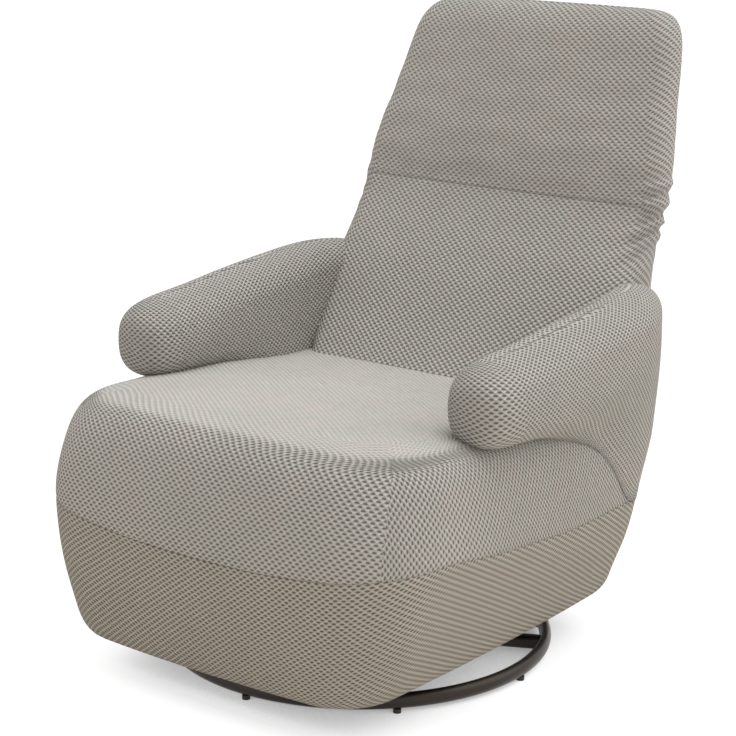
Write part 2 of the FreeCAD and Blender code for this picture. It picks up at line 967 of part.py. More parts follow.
def seat_cushion(form, back, boards):
    wide = body_half_width + overrun
    far = body_rear + overrun
    upper = form.common(box(-wide, wide, -far, far, seam_height, seat_height + overrun))
    pocket = box(
        -board_inner,
        board_inner,
        -front_board_face,
        rear_board_face,
        seam_height,
        seam_height + spring_pocket_height,
    )
    return upper.cut([pocket, back] + boards)


# Back frame


def board_line(low_y, high_y, level):
    """Y at a level on the sloping edge of the back's side boards."""
    share = (level - back_board_low) / (back_board_high - back_board_low)
    return low_y + share * (high_y - low_y)


def back_board_front(level):
    return board_line(back_board_front_low, back_board_front_high, level)


def back_board_rear(level):
    return board_line(back_board_rear_low, back_board_rear_high, level)


def back_lean():
    """Angle of the boards' front edge from upright, in degrees."""
    run = back_board_front_high - back_board_front_low
    return math.degrees(math.atan2(run, back_board_high - back_board_low))


def back_side_boards():
    foot_rear = rear_board_face - board_thickness
    foot_front = foot_rear - back_board_foot_depth
    board = plate_yz(
        [
            (foot_front, back_board_foot),
            (foot_rear, back_board_foot),
            (foot_rear, seam_height),
            (back_board_rear_low, back_board_low),
            (back_board_rear_high, back_board_high),
            (back_board_front_high, back_board_high),
            (back_board_front_low, back_board_low),
            (foot_front, seam_height),
        ],
        back_board_inner,
        board_inner,
    )
    return group(pair(board))


def back_lower_rail():
    rear = lower_rail_front + board_thickness
    high = lower_rail_underside + lower_rail_height
    inner = back_board_inner
    return box(-inner, inner, lower_rail_front, rear, lower_rail_underside, high)


def back_top_rail(plates):
    rear = top_rail_front + top_rail_depth
    high = top_rail_underside + top_rail_height
    inner = back_board_inner
    rail = box(-inner, inner, top_rail_front, rear, top_rail_underside, high)
    return rail.cut(plates)


def back_webbing():
    """Elastic straps across the front edges of the side boards."""
    straps = []
    rise = (back_board_high - back_board_low) / strap_count
    for index in range(strap_count):
        level = back_board_low + (index + 0.5) * rise
        half = strap_width / 2
        strap = box(-board_inner, board_inner, -strap_thickness, 0, -half, half)
        strap.rotate(CENTRE, X_AXIS, -back_lean())
        strap.translate(Vec(0, back_board_front(level), level))
        straps.append(strap)
    return group(straps)


def above_line(y, level, lean, lift):
    """Everything above a leaning plane across X, for cutting."""
    reach = rear_reach + overrun
    block = box(-reach, reach, -reach, reach, lift, reach)
    block.rotate(CENTRE, X_AXIS, -lean)
    block.translate(Vec(0, y, level))
    return block


def behind_boards():
    """Everything behind the front edge of the back's side boards."""
    reach = top_height
    block = box(-reach, reach, 0, reach, -reach, reach)
    block.rotate(CENTRE, X_AXIS, -back_lean())
    block.translate(Vec(0, back_board_front_low, back_board_low))
    return block


def hinge_axis_rod(radius, x0, x1):
    return rod(radius, x1 - x0, Vec(x0, hinge_y, neck_height), X_AXIS)


def back_pads(form, frame):
    """The back's padding below the neck, in front of and behind its boards."""
    wide = back_half_width + overrun
    above = above_line(hinge_y, neck_height, hinge_lean, -neck_gap)
    socket = hinge_axis_rod(knuckle_radius + knuckle_gap, -wide, wide)
    padding = form.cut([above, socket])
    behind = behind_boards()
    return padding.cut([behind] + frame), padding.common(behind).cut(frame)


# Arms


def arm_tube_y():
    return (back_board_front(arm_tube_height) + back_board_rear(arm_tube_height)) / 2


def bent_rod(radius):
    """Bar that leaves the back's side board, turns a quarter and runs forward."""
    y = arm_tube_y()
    start = board_inner + flange_thickness
    turn_x = arm_centre - arm_tube_bend
    across = rod(radius, turn_x - start, Vec(start, y, arm_tube_height), X_AXIS)
    forward_start = y - arm_tube_bend
    end = Vec(arm_centre, -arm_tube_front, arm_tube_height)
    forward = rod(radius, forward_start + arm_tube_front, end, Y_AXIS)
    circle = Part.Wire(Part.makeCircle(radius, Vec(turn_x, y, arm_tube_height), X_AXIS))
    pivot = Vec(turn_x, forward_start, 0)
    bend = Part.Face(circle).revolve(pivot, Z_AXIS, -90)
    return across.fuse([bend, forward]).removeSplitter()


def arm_tube():
    outer = arm_tube_diameter / 2
    return bent_rod(outer).cut(bent_rod(outer - arm_tube_wall))


def flange_bolt_places():
    lean = math.radians(back_lean())
    half = flange_bolt_spread / 2
    places = []
    for side in (-1, 1):
        y = arm_tube_y() + side * half * math.sin(lean)
        places.append(Vec(board_inner, y, arm_tube_height + side * half * math.cos(lean)))
    return places


def arm_flanges():
    half_width = flange_width / 2
    half_height = flange_height / 2
    plate = box(0, flange_thickness, -half_width, half_width, -half_height, half_height)
    plate.rotate(CENTRE, X_AXIS, -back_lean())
    plate.translate(Vec(board_inner, arm_tube_y(), arm_tube_height))
    radius = flange_bolt_diameter / 2 + running_fit
    holes = [rod(radius, flange_thickness, place, X_AXIS) for place in flange_bolt_places()]
    return group(pair(plate.cut(group(holes))))


def arm_bolts():
    """Screws through each flange into the side board."""
    radius = flange_bolt_diameter / 2
    screws = []
    for place in flange_bolt_places():
        inner = Vec(back_board_inner, place.y, place.z)
        outer = place + X_AXIS * flange_thickness
        shank = rod(radius, board_thickness + flange_thickness, inner, X_AXIS)
        across = flange_bolt_diameter * head_across_share
        head = hexagon(across, flange_bolt_diameter * head_height_share, outer, X_AXIS)
        screws += pair(shank.fuse(head).removeSplitter())
    return group(screws)


def drilled_side_boards(boards):
    """The back's side boards with holes for the arm screws."""
    radius = flange_bolt_diameter / 2 + running_fit
    holes = []
    for place in flange_bolt_places():
        start = Vec(back_board_inner, place.y, place.z)
        holes += pair(rod(radius, board_thickness, start, X_AXIS))
    return boards.cut(group(holes))


def arm_pad(form, obstacles):
    return form.cut(obstacles)


# Head rest


def hinge_layout():
    """Inner X of the fixed plate, friction disc and moving plate."""
    fixed = hinge_place
    disc = fixed + hinge_thickness + hinge_side_gap
    moving = disc + hinge_disc_thickness + hinge_side_gap
    return fixed, disc, moving


def hinge_plate(x, tail):
    """Plate with a round eye on the neck axis and a straight tail to a (y, z)."""
    eye = hinge_axis_rod(hinge_eye, x, x + hinge_thickness)
    axis = Vec(0, hinge_y, neck_height)
    way = Vec(0, tail[0], tail[1]) - axis
    side = way.cross(X_AXIS).normalize() * hinge_arm_half
    end = axis + way
    corners = [axis - side, end - side, end + side, axis + side]
    arm = plate_yz([(corner.y, corner.z) for corner in corners], x, x + hinge_thickness)
    bore = hinge_axis_rod(hinge_pin_diameter / 2 + running_fit, x, x + hinge_thickness)
    return eye.fuse(arm).removeSplitter().cut(bore)


def hinge_fixed_plates():
    tail = (hinge_y - hinge_tail_shift, neck_height - hinge_tail_drop)
    return group(pair(hinge_plate(hinge_layout()[0], tail)))


def hinge_moving_plates():
    tongue = (hinge_y + hinge_tongue_shift, neck_height + hinge_tongue_rise)
    return group(pair(hinge_plate(hinge_layout()[2], tongue)))


def hinge_discs():
    near = hinge_layout()[1]
    disc = hinge_axis_rod(hinge_eye, near, near + hinge_disc_thickness)
    bore = hinge_axis_rod(hinge_pin_diameter / 2 + running_fit, near, near + hinge_disc_thickness)
    return group(pair(disc.cut(bore)))


def hinge_pins():
    fixed, _, moving = hinge_layout()
    outer = moving + hinge_thickness + seat_gap
    radius = hinge_pin_diameter / 2
    pin = hinge_axis_rod(radius, fixed - hinge_pin_head, outer)
    heads = [
        hinge_axis_rod(radius + hinge_pin_head, fixed - hinge_pin_head, fixed),
        hinge_axis_rod(radius + hinge_pin_head, outer, outer + hinge_pin_head),
    ]
    return group(pair(pin.fuse(heads).removeSplitter()))


def hinge_room():
    """Room in the head pad for both hinges and for the sweep of their tails."""
    fixed, _, moving = hinge_layout()
    near = fixed - hinge_pin_head - knuckle_gap
    far = moving + hinge_thickness + seat_gap + hinge_pin_head + knuckle_gap
    corners = [(hinge_y, neck_height)]
    for angle in (math.radians(hinge_slot_front), math.radians(hinge_slot_rear)):
        y = hinge_y + hinge_slot_reach * math.cos(angle)
        corners.append((y, neck_height + hinge_slot_reach * math.sin(angle)))
    slot = plate_yz(corners, near, far)
    room = hinge_axis_rod(hinge_eye + 2 * knuckle_gap, near, far).fuse(slot)
    return group(pair(room))


def headrest_board(plates):
    half = head_board_thickness / 2
    board = plate_yz(
        [
            (head_board_low_y - half, head_board_low),
            (head_board_low_y + half, head_board_low),
            (head_board_high_y + half, head_board_high),
            (head_board_high_y - half, head_board_high),
        ],
        -head_board_half_width,
        head_board_half_width,
    )
    return board.cut(plates)


def headrest_cushion(form, board, plates):
    wide = back_half_width + overrun
    above = form.common(above_line(hinge_y, neck_height, hinge_lean, neck_gap))
    knuckle = form.common(hinge_axis_rod(knuckle_radius, -wide, wide))
    return above.fuse(knuckle).cut([board, plates, hinge_room()]).removeSplitter()


def base_pieces():
    return {
        "base_ring": base_ring(),
        "glides": glides(),
        "cross_arms": cross_arms(),
        "hub_disc": hub_disc(),
        "lower_race": race(hub_top),
        "bearing_balls": bearing_balls(),
        "ball_cage": ball_cage(),
        "king_bolt": king_bolt(),
        "king_washer": king_washer(),
        "king_nut": king_nut(),
    }


def turning_pieces():
    return {
        "upper_race": race(swivel_underside - race_thickness),
        "swivel_plate": swivel_plate(),
        "pivot_bush": pivot_bush(),
        "tilt_brackets": tilt_brackets(),
        "bracket_bolts": bracket_bolts(),
        "bracket_nuts": bracket_nuts(),
        "rock_spindle": rock_spindle(),
        "spindle_circlips": spindle_circlips(),
        "spindle_spacers": spindle_spacers(),
        "lower_spring_seats": spring_seats(swivel_top, Z_AXIS),
        "rock_springs_front": rock_springs(-1),
        "rock_springs_rear": rock_springs(1),
    }


def frame_pieces():
    fixed_plates = hinge_fixed_plates()
    return {
        "rocker_frame": rocker_frame(),
        "rock_bushes": rock_bushes(),
        "upper_spring_seats": spring_seats(rocker_underside, -Z_AXIS),
        "rock_stops": rock_stops(),
        "cross_rails": cross_rails(),
        "rocker_bolts": rocker_bolts(),
        "rocker_nuts": rocker_nuts(),
        "seat_side_boards": seat_side_boards(),
        "seat_front_board": seat_front_board(),
        "seat_rear_board": seat_rear_board(),
        "corner_blocks": corner_blocks(),
        "dust_cover": dust_cover(),
        "seat_springs": seat_springs(),
        "spring_clips": spring_clips(),
        "back_side_boards": drilled_side_boards(back_side_boards()),
        "back_lower_rail": back_lower_rail(),
        "back_top_rail": back_top_rail(fixed_plates),
        "back_webbing": back_webbing(),
        "arm_flanges": arm_flanges(),
        "arm_bolts": arm_bolts(),
        "hinge_fixed_plates": fixed_plates,
        "hinge_discs": hinge_discs(),
        "hinge_pins": hinge_pins(),
    }


def padding_pieces(frame):
    seat = seat_form()
    back = back_form()
    arm = arm_form()
    tube_left = arm_tube()
    tubes = group(pair(tube_left))
    pads = lower_pads(seat)
    boards = [back_side_boards(), back_lower_rail()]
    pads["seat_cushion"] = seat_cushion(seat, back, boards)
    names = ("back_side_boards", "back_lower_rail", "back_top_rail", "back_webbing")
    names += ("arm_flanges", "arm_bolts", "hinge_fixed_plates")
    inside = [frame[name] for name in names]
    rods = group(pair(bent_rod(arm_tube_diameter / 2)))
    front, rear = back_pads(back, inside + [rods])
    pads["back_cushion"] = front
    pads["back_rear_pad"] = rear
    pad = arm_pad(arm, [seat, back, bent_rod(arm_tube_diameter / 2)])
    pads["arm_pad_left"] = pad
    pads["arm_pad_right"] = mirrored(pad)
    pads["arm_tubes"] = tubes
    return pads


def head_pieces():
    plates = hinge_moving_plates()
    board = headrest_board(plates)
    return {
        "hinge_moving_plates": plates,
        "headrest_board": board,
        "headrest_cushion": headrest_cushion(head_form(), board, plates),
    }


def write(name, shape):
    piece = shape.copy()
    piece.translate(Vec(0, -footprint_middle, 0))
    piece.exportStep(os.path.join(out_dir, name + ".step"))


def main():
    os.makedirs(out_dir, exist_ok=True)
    frame = frame_pieces()
    pieces = {}
    for made in (base_pieces(), turning_pieces(), frame, padding_pieces(frame), head_pieces()):
        pieces.update(made)
    for name, shape in pieces.items():
        write(name, shape)
    print(len(pieces), "pieces; swivel axis at y =", -footprint_middle)


main()
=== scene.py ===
import json
import math

import bpy
import numpy as np
from bpy.props import FloatProperty, FloatVectorProperty, IntProperty, PointerProperty
from mathutils import Euler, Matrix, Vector
from mathutils.kdtree import KDTree
from numpy.linalg import norm

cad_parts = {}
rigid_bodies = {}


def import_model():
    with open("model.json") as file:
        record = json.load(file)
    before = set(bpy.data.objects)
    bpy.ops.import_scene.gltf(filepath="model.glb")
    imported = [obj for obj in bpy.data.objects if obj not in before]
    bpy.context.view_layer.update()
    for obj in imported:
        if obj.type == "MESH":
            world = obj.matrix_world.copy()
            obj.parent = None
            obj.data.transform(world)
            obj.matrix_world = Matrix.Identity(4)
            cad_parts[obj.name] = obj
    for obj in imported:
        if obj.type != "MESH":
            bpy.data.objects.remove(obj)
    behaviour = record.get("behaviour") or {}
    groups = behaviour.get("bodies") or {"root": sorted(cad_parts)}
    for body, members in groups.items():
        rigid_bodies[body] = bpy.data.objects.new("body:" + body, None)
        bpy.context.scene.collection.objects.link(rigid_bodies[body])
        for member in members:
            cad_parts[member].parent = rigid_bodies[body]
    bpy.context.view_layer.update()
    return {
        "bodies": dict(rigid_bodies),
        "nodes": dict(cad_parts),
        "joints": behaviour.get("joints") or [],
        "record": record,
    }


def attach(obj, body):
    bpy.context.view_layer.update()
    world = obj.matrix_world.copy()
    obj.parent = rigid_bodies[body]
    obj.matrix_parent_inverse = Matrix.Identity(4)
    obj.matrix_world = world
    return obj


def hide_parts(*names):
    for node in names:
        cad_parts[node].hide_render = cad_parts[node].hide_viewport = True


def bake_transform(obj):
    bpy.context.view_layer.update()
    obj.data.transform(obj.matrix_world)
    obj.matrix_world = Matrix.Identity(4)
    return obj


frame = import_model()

bl_info = {
    "name": "Swivel rocker",
    "version": (1, 0, 0),
    "blender": (4, 5, 0),
    "location": "View3D > Sidebar > Rocker",
    "description": "Knit covers, finishes and studio for a padded swivel rocker",
    "category": "Object",
}

# The place of the swivel axis, which every section below is measured from. Lengths are in metres

AXIS_Y = next(j for j in frame["joints"] if j["name"] == "swivel")["pos_m"][1]

# Seat body. A station is its height, half width, front, rear and corner radius, as shares.
# Columns are counted on half the front, a front corner, a side, a rear corner and half the rear

BODY_HALF_WIDTH = 0.376
BODY_FRONT = 0.426
BODY_REAR = 0.432
BODY_CORNER = 0.128
UNDERSIDE = 0.062
SEAT_HEIGHT = 0.436
SIDE_CROWN = 0.022
BODY_COLUMNS = (30, 28, 64, 26, 30)
BODY_STATIONS = (
    (0.000, 0.740, 0.890, 0.770, 0.62),
    (0.010, 0.790, 0.930, 0.810, 0.70),
    (0.038, 0.826, 0.952, 0.840, 0.76),
    (0.130, 0.875, 0.972, 0.856, 0.84),
    (0.290, 0.930, 0.988, 0.885, 0.90),
    (0.520, 0.976, 1.000, 0.919, 0.98),
    (0.700, 0.994, 0.991, 0.958, 1.04),
    (0.840, 0.989, 0.958, 1.000, 1.10),
    (0.915, 0.973, 0.922, 0.995, 1.12),
    (0.965, 0.934, 0.874, 0.970, 1.08),
    (0.991, 0.860, 0.790, 0.920, 1.00),
    (1.000, 0.720, 0.660, 0.840, 0.84),
)

# Seam round the body: its height in front, how far it rises at the front corners and falls
# along the sides, and the turns from straight in front, in radians, where it does so

SEAM_HEIGHT = 0.262
SEAM_RISE = 0.022
SEAM_RISE_TURN = 0.72
SEAM_RISE_SPREAD = 0.30
SEAM_FALL = 0.016
SEAM_FALL_TURNS = (1.1, 2.0)

# Run of the knit over the seat body: how strongly its pits show in relief and painted shade,
# and how far its rows are stretched, packed together, slanted or let sag

TOP_OPENING_AND_SHADE = 0.24
FRONT_OPENING_AND_SHADE = 1.12
FRONT_STRETCH = 1.04
FRONT_LEAN = 0.075
FRONT_SAG = 0.20
SIDE_PACKING = 1.17
SIDE_START = -0.25
SIDE_LEAN = 0.41
BAND_OPENING_AND_SHADE = 1.25
BAND_STRETCH = 1.05
BAND_PACKING = 1.09
BAND_SLANT = 0.19
BAND_BEND = 0.30

# How far the knit's rows stray, as a share of a stitch

KNIT_STRAY = 0.10

# Rows of a cover: their spacing next to the seam or crease and away from it, how far it eases,
# the lengths that they fill, and the steps by which a cover's edge is turned in

SEAM_SPACING = (0.0022, 0.0065, 0.03)
CREASE_SPACING = (0.0012, 0.0062, 0.035)
WALL_RUN = 0.24
BACK_RUN = 0.32
HEAD_RUN = 0.42
LIP_STEPS = (0.0004, 0.012)

# Seat top: the point that its rings shrink to, how many there are, and the places and heights
# between which it slopes to its front, less at the far side, and to its rear

SEAT_MIDDLE = (0.0, 0.25, 0.0)
SEAT_RINGS = 32
SLOPE_FRONT = (0.04, -0.32)
SLOPE_REAR = (-0.04, 0.20)
SLOPE_HEIGHTS = (0.35, 0.425)
SLOPE_FAR = (-0.16, -0.34)
SLOPE_FAR_LOSS = 0.45

# Under the body the band turns in by two shares of its lowest row, and rises inside it

BAND_UNDER = ((0.985, 0.985, 1), (0, 0, 0.003))
BAND_HEM = ((0.965, 0.95, 1), (0, 0, 0.012))

# Back and head. A station is the height, half width, front and rear, as shares

BACK_HALF_WIDTH = 0.316
BACK_BASE = 0.404
NECK_HEIGHT = 0.706
TOP_HEIGHT = 1.031
BACK_REACH = 0.577
NECK_FRONT = 0.396
BACK_EDGE = 0.040
BACK_EDGE_SHARE = 0.42
BACK_CROWN = 0.03
# How strongly the knit's pits show on the back and head, in relief and painted shade
BACK_OPENING_AND_SHADE = 0.92
HEAD_RINGS = 12
HEAD_CROWN = 0.002
BACK_COLUMNS = (34, 10, 16, 10, 34)
BACK_STATIONS = (
    (0.00, 0.900, 0.460, 0.742),
    (0.10, 0.935, 0.520, 0.744),
    (0.30, 0.975, 0.640, 0.744),
    (0.47, 0.995, 0.725, 0.744),
    (0.72, 0.990, 0.856, 0.762),
    (1.00, 0.980, 1.000, 0.808),
)
HEAD_STATIONS = (
    (0.20, 0.976, 1.050, 0.846),
    (0.50, 0.920, 1.140, 0.914),
    (0.80, 0.868, 1.238, 0.976),
    (0.90, 0.832, 1.274, 0.994),
    (0.96, 0.776, 1.312, 1.000),
    (0.99, 0.700, 1.348, 0.986),
    (1.00, 0.610, 1.385, 0.966),
)

# Neck crease, and the folds beside it. A fold is its height, width, share of the depth and lean

CREASE_HEIGHT = 0.716
SIDE_FOLDS = (
    (0.747, 0.0065, 0.75, 0.10),
    (0.733, 0.0045, -0.60, 0.05),
    (0.721, 0.0060, 0.55, -0.05),
    (0.707, 0.0040, -0.55, 0.02),
    (0.697, 0.0055, -0.10, 0.10),
    (0.688, 0.0060, -0.95, 0.20),
    (0.674, 0.0070, 0.80, 0.30),
    (0.656, 0.0065, -0.95, 0.42),
    (0.638, 0.0080, 0.55, 0.55),
    (0.620, 0.0080, -0.45, 0.62),
)

# Arms. A station is the run, distance from the middle, turn in degrees, half width, underside
# and top, all but the turn as shares

ARM_REACH = 0.182
ARM_LENGTH = 0.560
ARM_CENTRE = 0.337
ARM_HALF_WIDTH = 0.062
ARM_TIP_HEIGHT = 0.498
ARM_TIP_HALF_HEIGHT = 0.065
ARM_EDGE_SHARE = 0.80
ARM_CROWN = 0.03
ARM_PACKING = 1.15
# How strongly the knit's pits show on the arms, in relief and painted shade
ARM_OPENING_AND_SHADE = 1.2
ARM_ROWS = 96
TIP_RINGS = (0.9, 0.7, 0.5, 0.3)
TIP_CROWN = 0.002
ARM_COLUMNS = (6, 14, 14, 14, 6)
ARM_STATIONS = (
    (0.000, 1.000, 0.0, 0.30, -0.42, 0.26),
    (0.012, 1.000, 0.0, 0.62, -0.78, 0.58),
    (0.045, 1.000, 0.0, 0.86, -0.98, 0.82),
    (0.100, 1.000, 0.0, 0.98, -1.08, 0.97),
    (0.220, 1.003, 0.0, 1.00, -1.17, 1.09),
    (0.420, 1.011, 0.0, 1.00, -1.50, 1.24),
    (0.580, 1.015, 4.0, 1.00, -2.15, 1.37),
    (0.700, 1.010, 10.5, 0.99, -3.15, 1.47),
    (0.800, 0.992, 18.5, 0.96, -3.92, 1.55),
    (0.900, 0.938, 32.0, 0.86, -3.92, 1.57),
    (0.975, 0.872, 46.0, 0.66, -3.92, 1.44),
    (1.025, 0.812, 56.0, 0.36, -3.70, 1.14),
)

# Where the arm's lower rear flap lies against the body: its gap, how low the body is measured,
# how far inside the body it is left alone, the heights between which it closes in, and how far
# those move towards the rear

FLAP_GAP = 0.0009
FLAP_INSIDE = 0.03
FLAP_LEVEL = 0.36
FLAP_START = (0.475, 0.045)
FLAP_END = (0.370, -0.110)

# Cloth simulation of the padding: voxel, pressure, frames, the points that carry a shift over
# and the distance at which they blur, and how far a point may move

CLOTH_VOXEL = 0.008
CLOTH_PRESSURE = 4.0
CLOTH_FRAMES = 20
CLOTH_NEAREST = 6
CLOTH_BLUR = 0.002
CLOTH_CAP = 0.003
CLOTH_CAP_SEAT = 0.004

# Rocker springs: half the distance between them each way, radius, wire, turns, points for each
# turn, points round the wire, and the heights of their ends

SPRING_SPREAD = (0.030, 0.072)
SPRING_RADIUS = 0.013
SPRING_WIRE = 0.0044
SPRING_TURNS = 6
SPRING_STEPS = 32
SPRING_SIDES = 12
SPRING_ENDS = (0.0607, 0.1684)

# Studio: camera, the direction and width in degrees of each lamp, colours, and floor. The floor
# is shown dark under a glow of its own, which fades where the chair stands close above it or on
# the side that the shadow's direction points to: a painted shadow

CAMERA_PLACE = (2.012736, -2.651335, 1.323567)
OVERHEAD = ((0.10, 0.10, 1.0), 40)
REAR_SIDE = ((0.62, 0.42, 0.50), 50)
LAMP_COLOUR = (0.97, 0.985, 1.0)
ROOM_COLOUR = (1.0, 0.975, 0.94)
FLOOR_REACH = 40.0
FLOOR_COLOUR = (0.84, 0.79, 0.72)
FLOOR_SHOWN = (0.14, 0.14, 0.14)
FLOOR_GLOW = 0.98
SHADOW_GAIN = 1.5
SHADOW_START = 0.87
SHADOW_REACH = 0.45
SHADOW_LEAN = (-0.40, -0.30, 0.866)


def natural_spline(knots, values, at):
    """A smooth curve through rows of values, read at the given places."""
    last = len(knots) - 1
    gaps = np.diff(knots)
    slopes = np.diff(values, axis=0) / gaps[:, None]
    matrix = np.eye(last + 1)
    right = np.zeros_like(values)
    for i in range(1, last):
        matrix[i, i - 1 : i + 2] = gaps[i - 1], 2 * (gaps[i - 1] + gaps[i]), gaps[i]
        right[i] = 3 * (slopes[i] - slopes[i - 1])
    curve = np.linalg.solve(matrix, right)
    i = np.clip(np.searchsorted(knots, at, "right") - 1, 0, last - 1)
    step = (at - knots[i])[:, None]
    gap = gaps[i][:, None]
    start = slopes[i] - gap * (2 * curve[i] + curve[i + 1]) / 3
    bend = (curve[i + 1] - curve[i]) / (3 * gap)
    return values[i] + step * (start + step * (curve[i] + step * bend))


def smooth_rows(table, profile, levels):
    """Rows on smooth curves through a table's rows, evenly spaced along a chain of points."""
    steps = norm(np.diff(profile, axis=0), axis=1)
    run = np.concatenate(([0.0], np.cumsum(steps)))
    return natural_spline(run / run[-1], table, np.linspace(0, 1, levels))


def arc(centre, radius, start, end, count):
    """Points of an arc, without its last one."""
    turn = np.linspace(start, end, count, endpoint=False)
    return np.column_stack((np.cos(turn), np.sin(turn))) * radius + centre


def crowned_outline(half_width, front, rear, radius, crown, counts):
    """A closed outline of tangent arcs, from the middle of the front round by +X."""
    middle = (front + rear) / 2
    reach_x = half_width - radius - crown
    reach_y = (rear - front) / 2 - radius - crown
    side_bow = (reach_y**2 + crown**2 + 2 * radius * crown) / (2 * crown)
    end_bow = (reach_x**2 + crown**2 + 2 * radius * crown) / (2 * crown)
    end_turn = math.atan2(reach_y - (rear - front) / 2 + end_bow, reach_x)
    side_turn = math.atan2(reach_y, reach_x - half_width + side_bow)
    quarter = math.pi / 2
    right = np.vstack((
        arc((0, front + end_bow), end_bow, -quarter, -end_turn, counts[0]),
        arc((reach_x, middle - reach_y), radius, -end_turn, -side_turn, counts[1]),
        arc((half_width - side_bow, middle), side_bow, -side_turn, side_turn, counts[2]),
        arc((reach_x, middle + reach_y), radius, side_turn, end_turn, counts[3]),
        arc((0, rear - end_bow), end_bow, end_turn, quarter, counts[4]),
    ))
    left = right[:0:-1] * (-1, 1)
    return np.vstack((right, ((0, rear),), left))


def along_rows(grid):
    """Distance up each column of a grid of points, from its first row."""
    steps = norm(np.diff(grid, axis=0), axis=2)
    return np.vstack((np.zeros((1, grid.shape[1])), np.cumsum(steps, axis=0)))


def along_columns(grid):
    """Signed distance round each row from its first column, for half a turn both ways."""
    steps = norm(np.roll(grid, -1, axis=1) - grid, axis=2)
    half = grid.shape[1] // 2
    right = np.cumsum(steps[:, :half], axis=1)
    left = np.cumsum(steps[:, :half:-1], axis=1)
    start = np.zeros((grid.shape[0], 1))
    return np.hstack((start, right, -left[:, ::-1]))


def resample_rows(grid, places):
    """The grid's columns read at new distances, a row of places for each new row."""
    run = along_rows(grid)
    made = np.empty((len(places), *grid.shape[1:]))
    for column, axis in np.ndindex(grid.shape[1:]):
        made[:, column, axis] = np.interp(places[:, column], run[:, column], grid[:, column, axis])
    return made


def outward(grid):
    """Unit normals of a closed grid whose columns run anticlockwise and rows upwards."""
    across = np.roll(grid, -1, axis=1) - np.roll(grid, 1, axis=1)
    up = np.gradient(grid, axis=0)
    normal = np.cross(across, up)
    return normal / np.maximum(norm(normal, axis=2, keepdims=True), 1e-9)


def eased(low, high, value):
    """0 below low, 1 above high and a soft rise between."""
    share = np.clip((value - low) / (high - low), 0, 1)
    return share * share * (3 - 2 * share)


def bell(value, width):
    """A soft bump of height 1 at zero."""
    return np.exp(-((value / width) ** 2))


# Grids of the three forms, in the frame of the swivel axis


def body_grid(levels=420):
    """Rows from the underside to the edge of the flat seat top."""
    table = np.array(BODY_STATIONS)
    height = SEAT_HEIGHT - UNDERSIDE
    rows = smooth_rows(table, table[:, :2] * (height, BODY_HALF_WIDTH), levels)
    scale = (height, BODY_HALF_WIDTH, -BODY_FRONT, BODY_REAR, BODY_CORNER)
    sections = []
    for rise, half_width, front, rear, corner in rows * scale:
        crown = half_width * SIDE_CROWN
        outline = crowned_outline(half_width, front, rear, corner, crown, BODY_COLUMNS)
        sections.append(level_ring(outline, UNDERSIDE + rise))
    return np.array(sections)


def level_ring(outline, level):
    return np.column_stack((outline, np.full(len(outline), level)))


def back_grid(levels=520):
    """Rows from inside the seat to the edge of the head's flat top."""
    back = np.array(BACK_STATIONS) * (NECK_HEIGHT - BACK_BASE, 1, 1, 1)
    head = np.array(HEAD_STATIONS) * (TOP_HEIGHT - NECK_HEIGHT, 1, 1, 1)
    back[:, 0] += BACK_BASE
    head[:, 0] += NECK_HEIGHT
    table = np.vstack((back, head)) * (1, BACK_HALF_WIDTH, NECK_FRONT, BACK_REACH)
    sections = []
    for level, half_width, front, rear in smooth_rows(table, table[:, :2], levels):
        depth = rear - front
        edge = min(BACK_EDGE, depth * BACK_EDGE_SHARE)
        crown = depth * BACK_CROWN
        outline = crowned_outline(half_width, front, rear, edge, crown, BACK_COLUMNS)
        sections.append(level_ring(outline, level))
    return np.array(sections)


def arm_grid(levels=260):
    """Rows from the tip to the rear end of the arm on +X; columns start below it."""
    table = np.array(ARM_STATIONS)
    rows = smooth_rows(table, table[:, [0, 3]] * (ARM_LENGTH, ARM_HALF_WIDTH), levels)
    sections = []
    for run, side, turn, width, low, high in rows:
        half_width = ARM_HALF_WIDTH * width
        low, high = ARM_TIP_HALF_HEIGHT * low, ARM_TIP_HALF_HEIGHT * high
        edge = min(half_width, (high - low) / 2) * ARM_EDGE_SHARE
        crown = half_width * ARM_CROWN
        outline = crowned_outline(half_width, low, high, edge, crown, ARM_COLUMNS)
        angle = math.radians(turn)
        sections.append(np.column_stack((
            ARM_CENTRE * side + outline[:, 0] * math.cos(angle),
            run * ARM_LENGTH - ARM_REACH + outline[:, 0] * math.sin(angle),
            ARM_TIP_HEIGHT + outline[:, 1],
        )))
    return np.array(sections)


# Meshes


def grid_faces(grid):
    """Point numbers of the faces between the rows of a grid whose columns close in a ring."""
    index = np.arange(grid[..., 0].size).reshape(grid.shape[:2])
    after = np.roll(index, -1, axis=1)
    return np.stack((index[:-1], after[:-1], after[1:], index[1:]), -1).reshape(-1, 4).tolist()


def end_face(grid, row):
    """Point numbers of the face that closes a grid's first row, 0, or last, -1."""
    columns = grid.shape[1]
    first = (len(grid) - 1) * columns if row else 0
    return np.arange(first, first + columns)[:: 1 if row else -1].tolist()


def closed_faces(grid):
    return grid_faces(grid) + [end_face(grid, 0), end_face(grid, -1)]


def linked_object(name, mesh):
    piece = bpy.data.objects.new(name, mesh)
    bpy.context.scene.collection.objects.link(piece)
    return piece


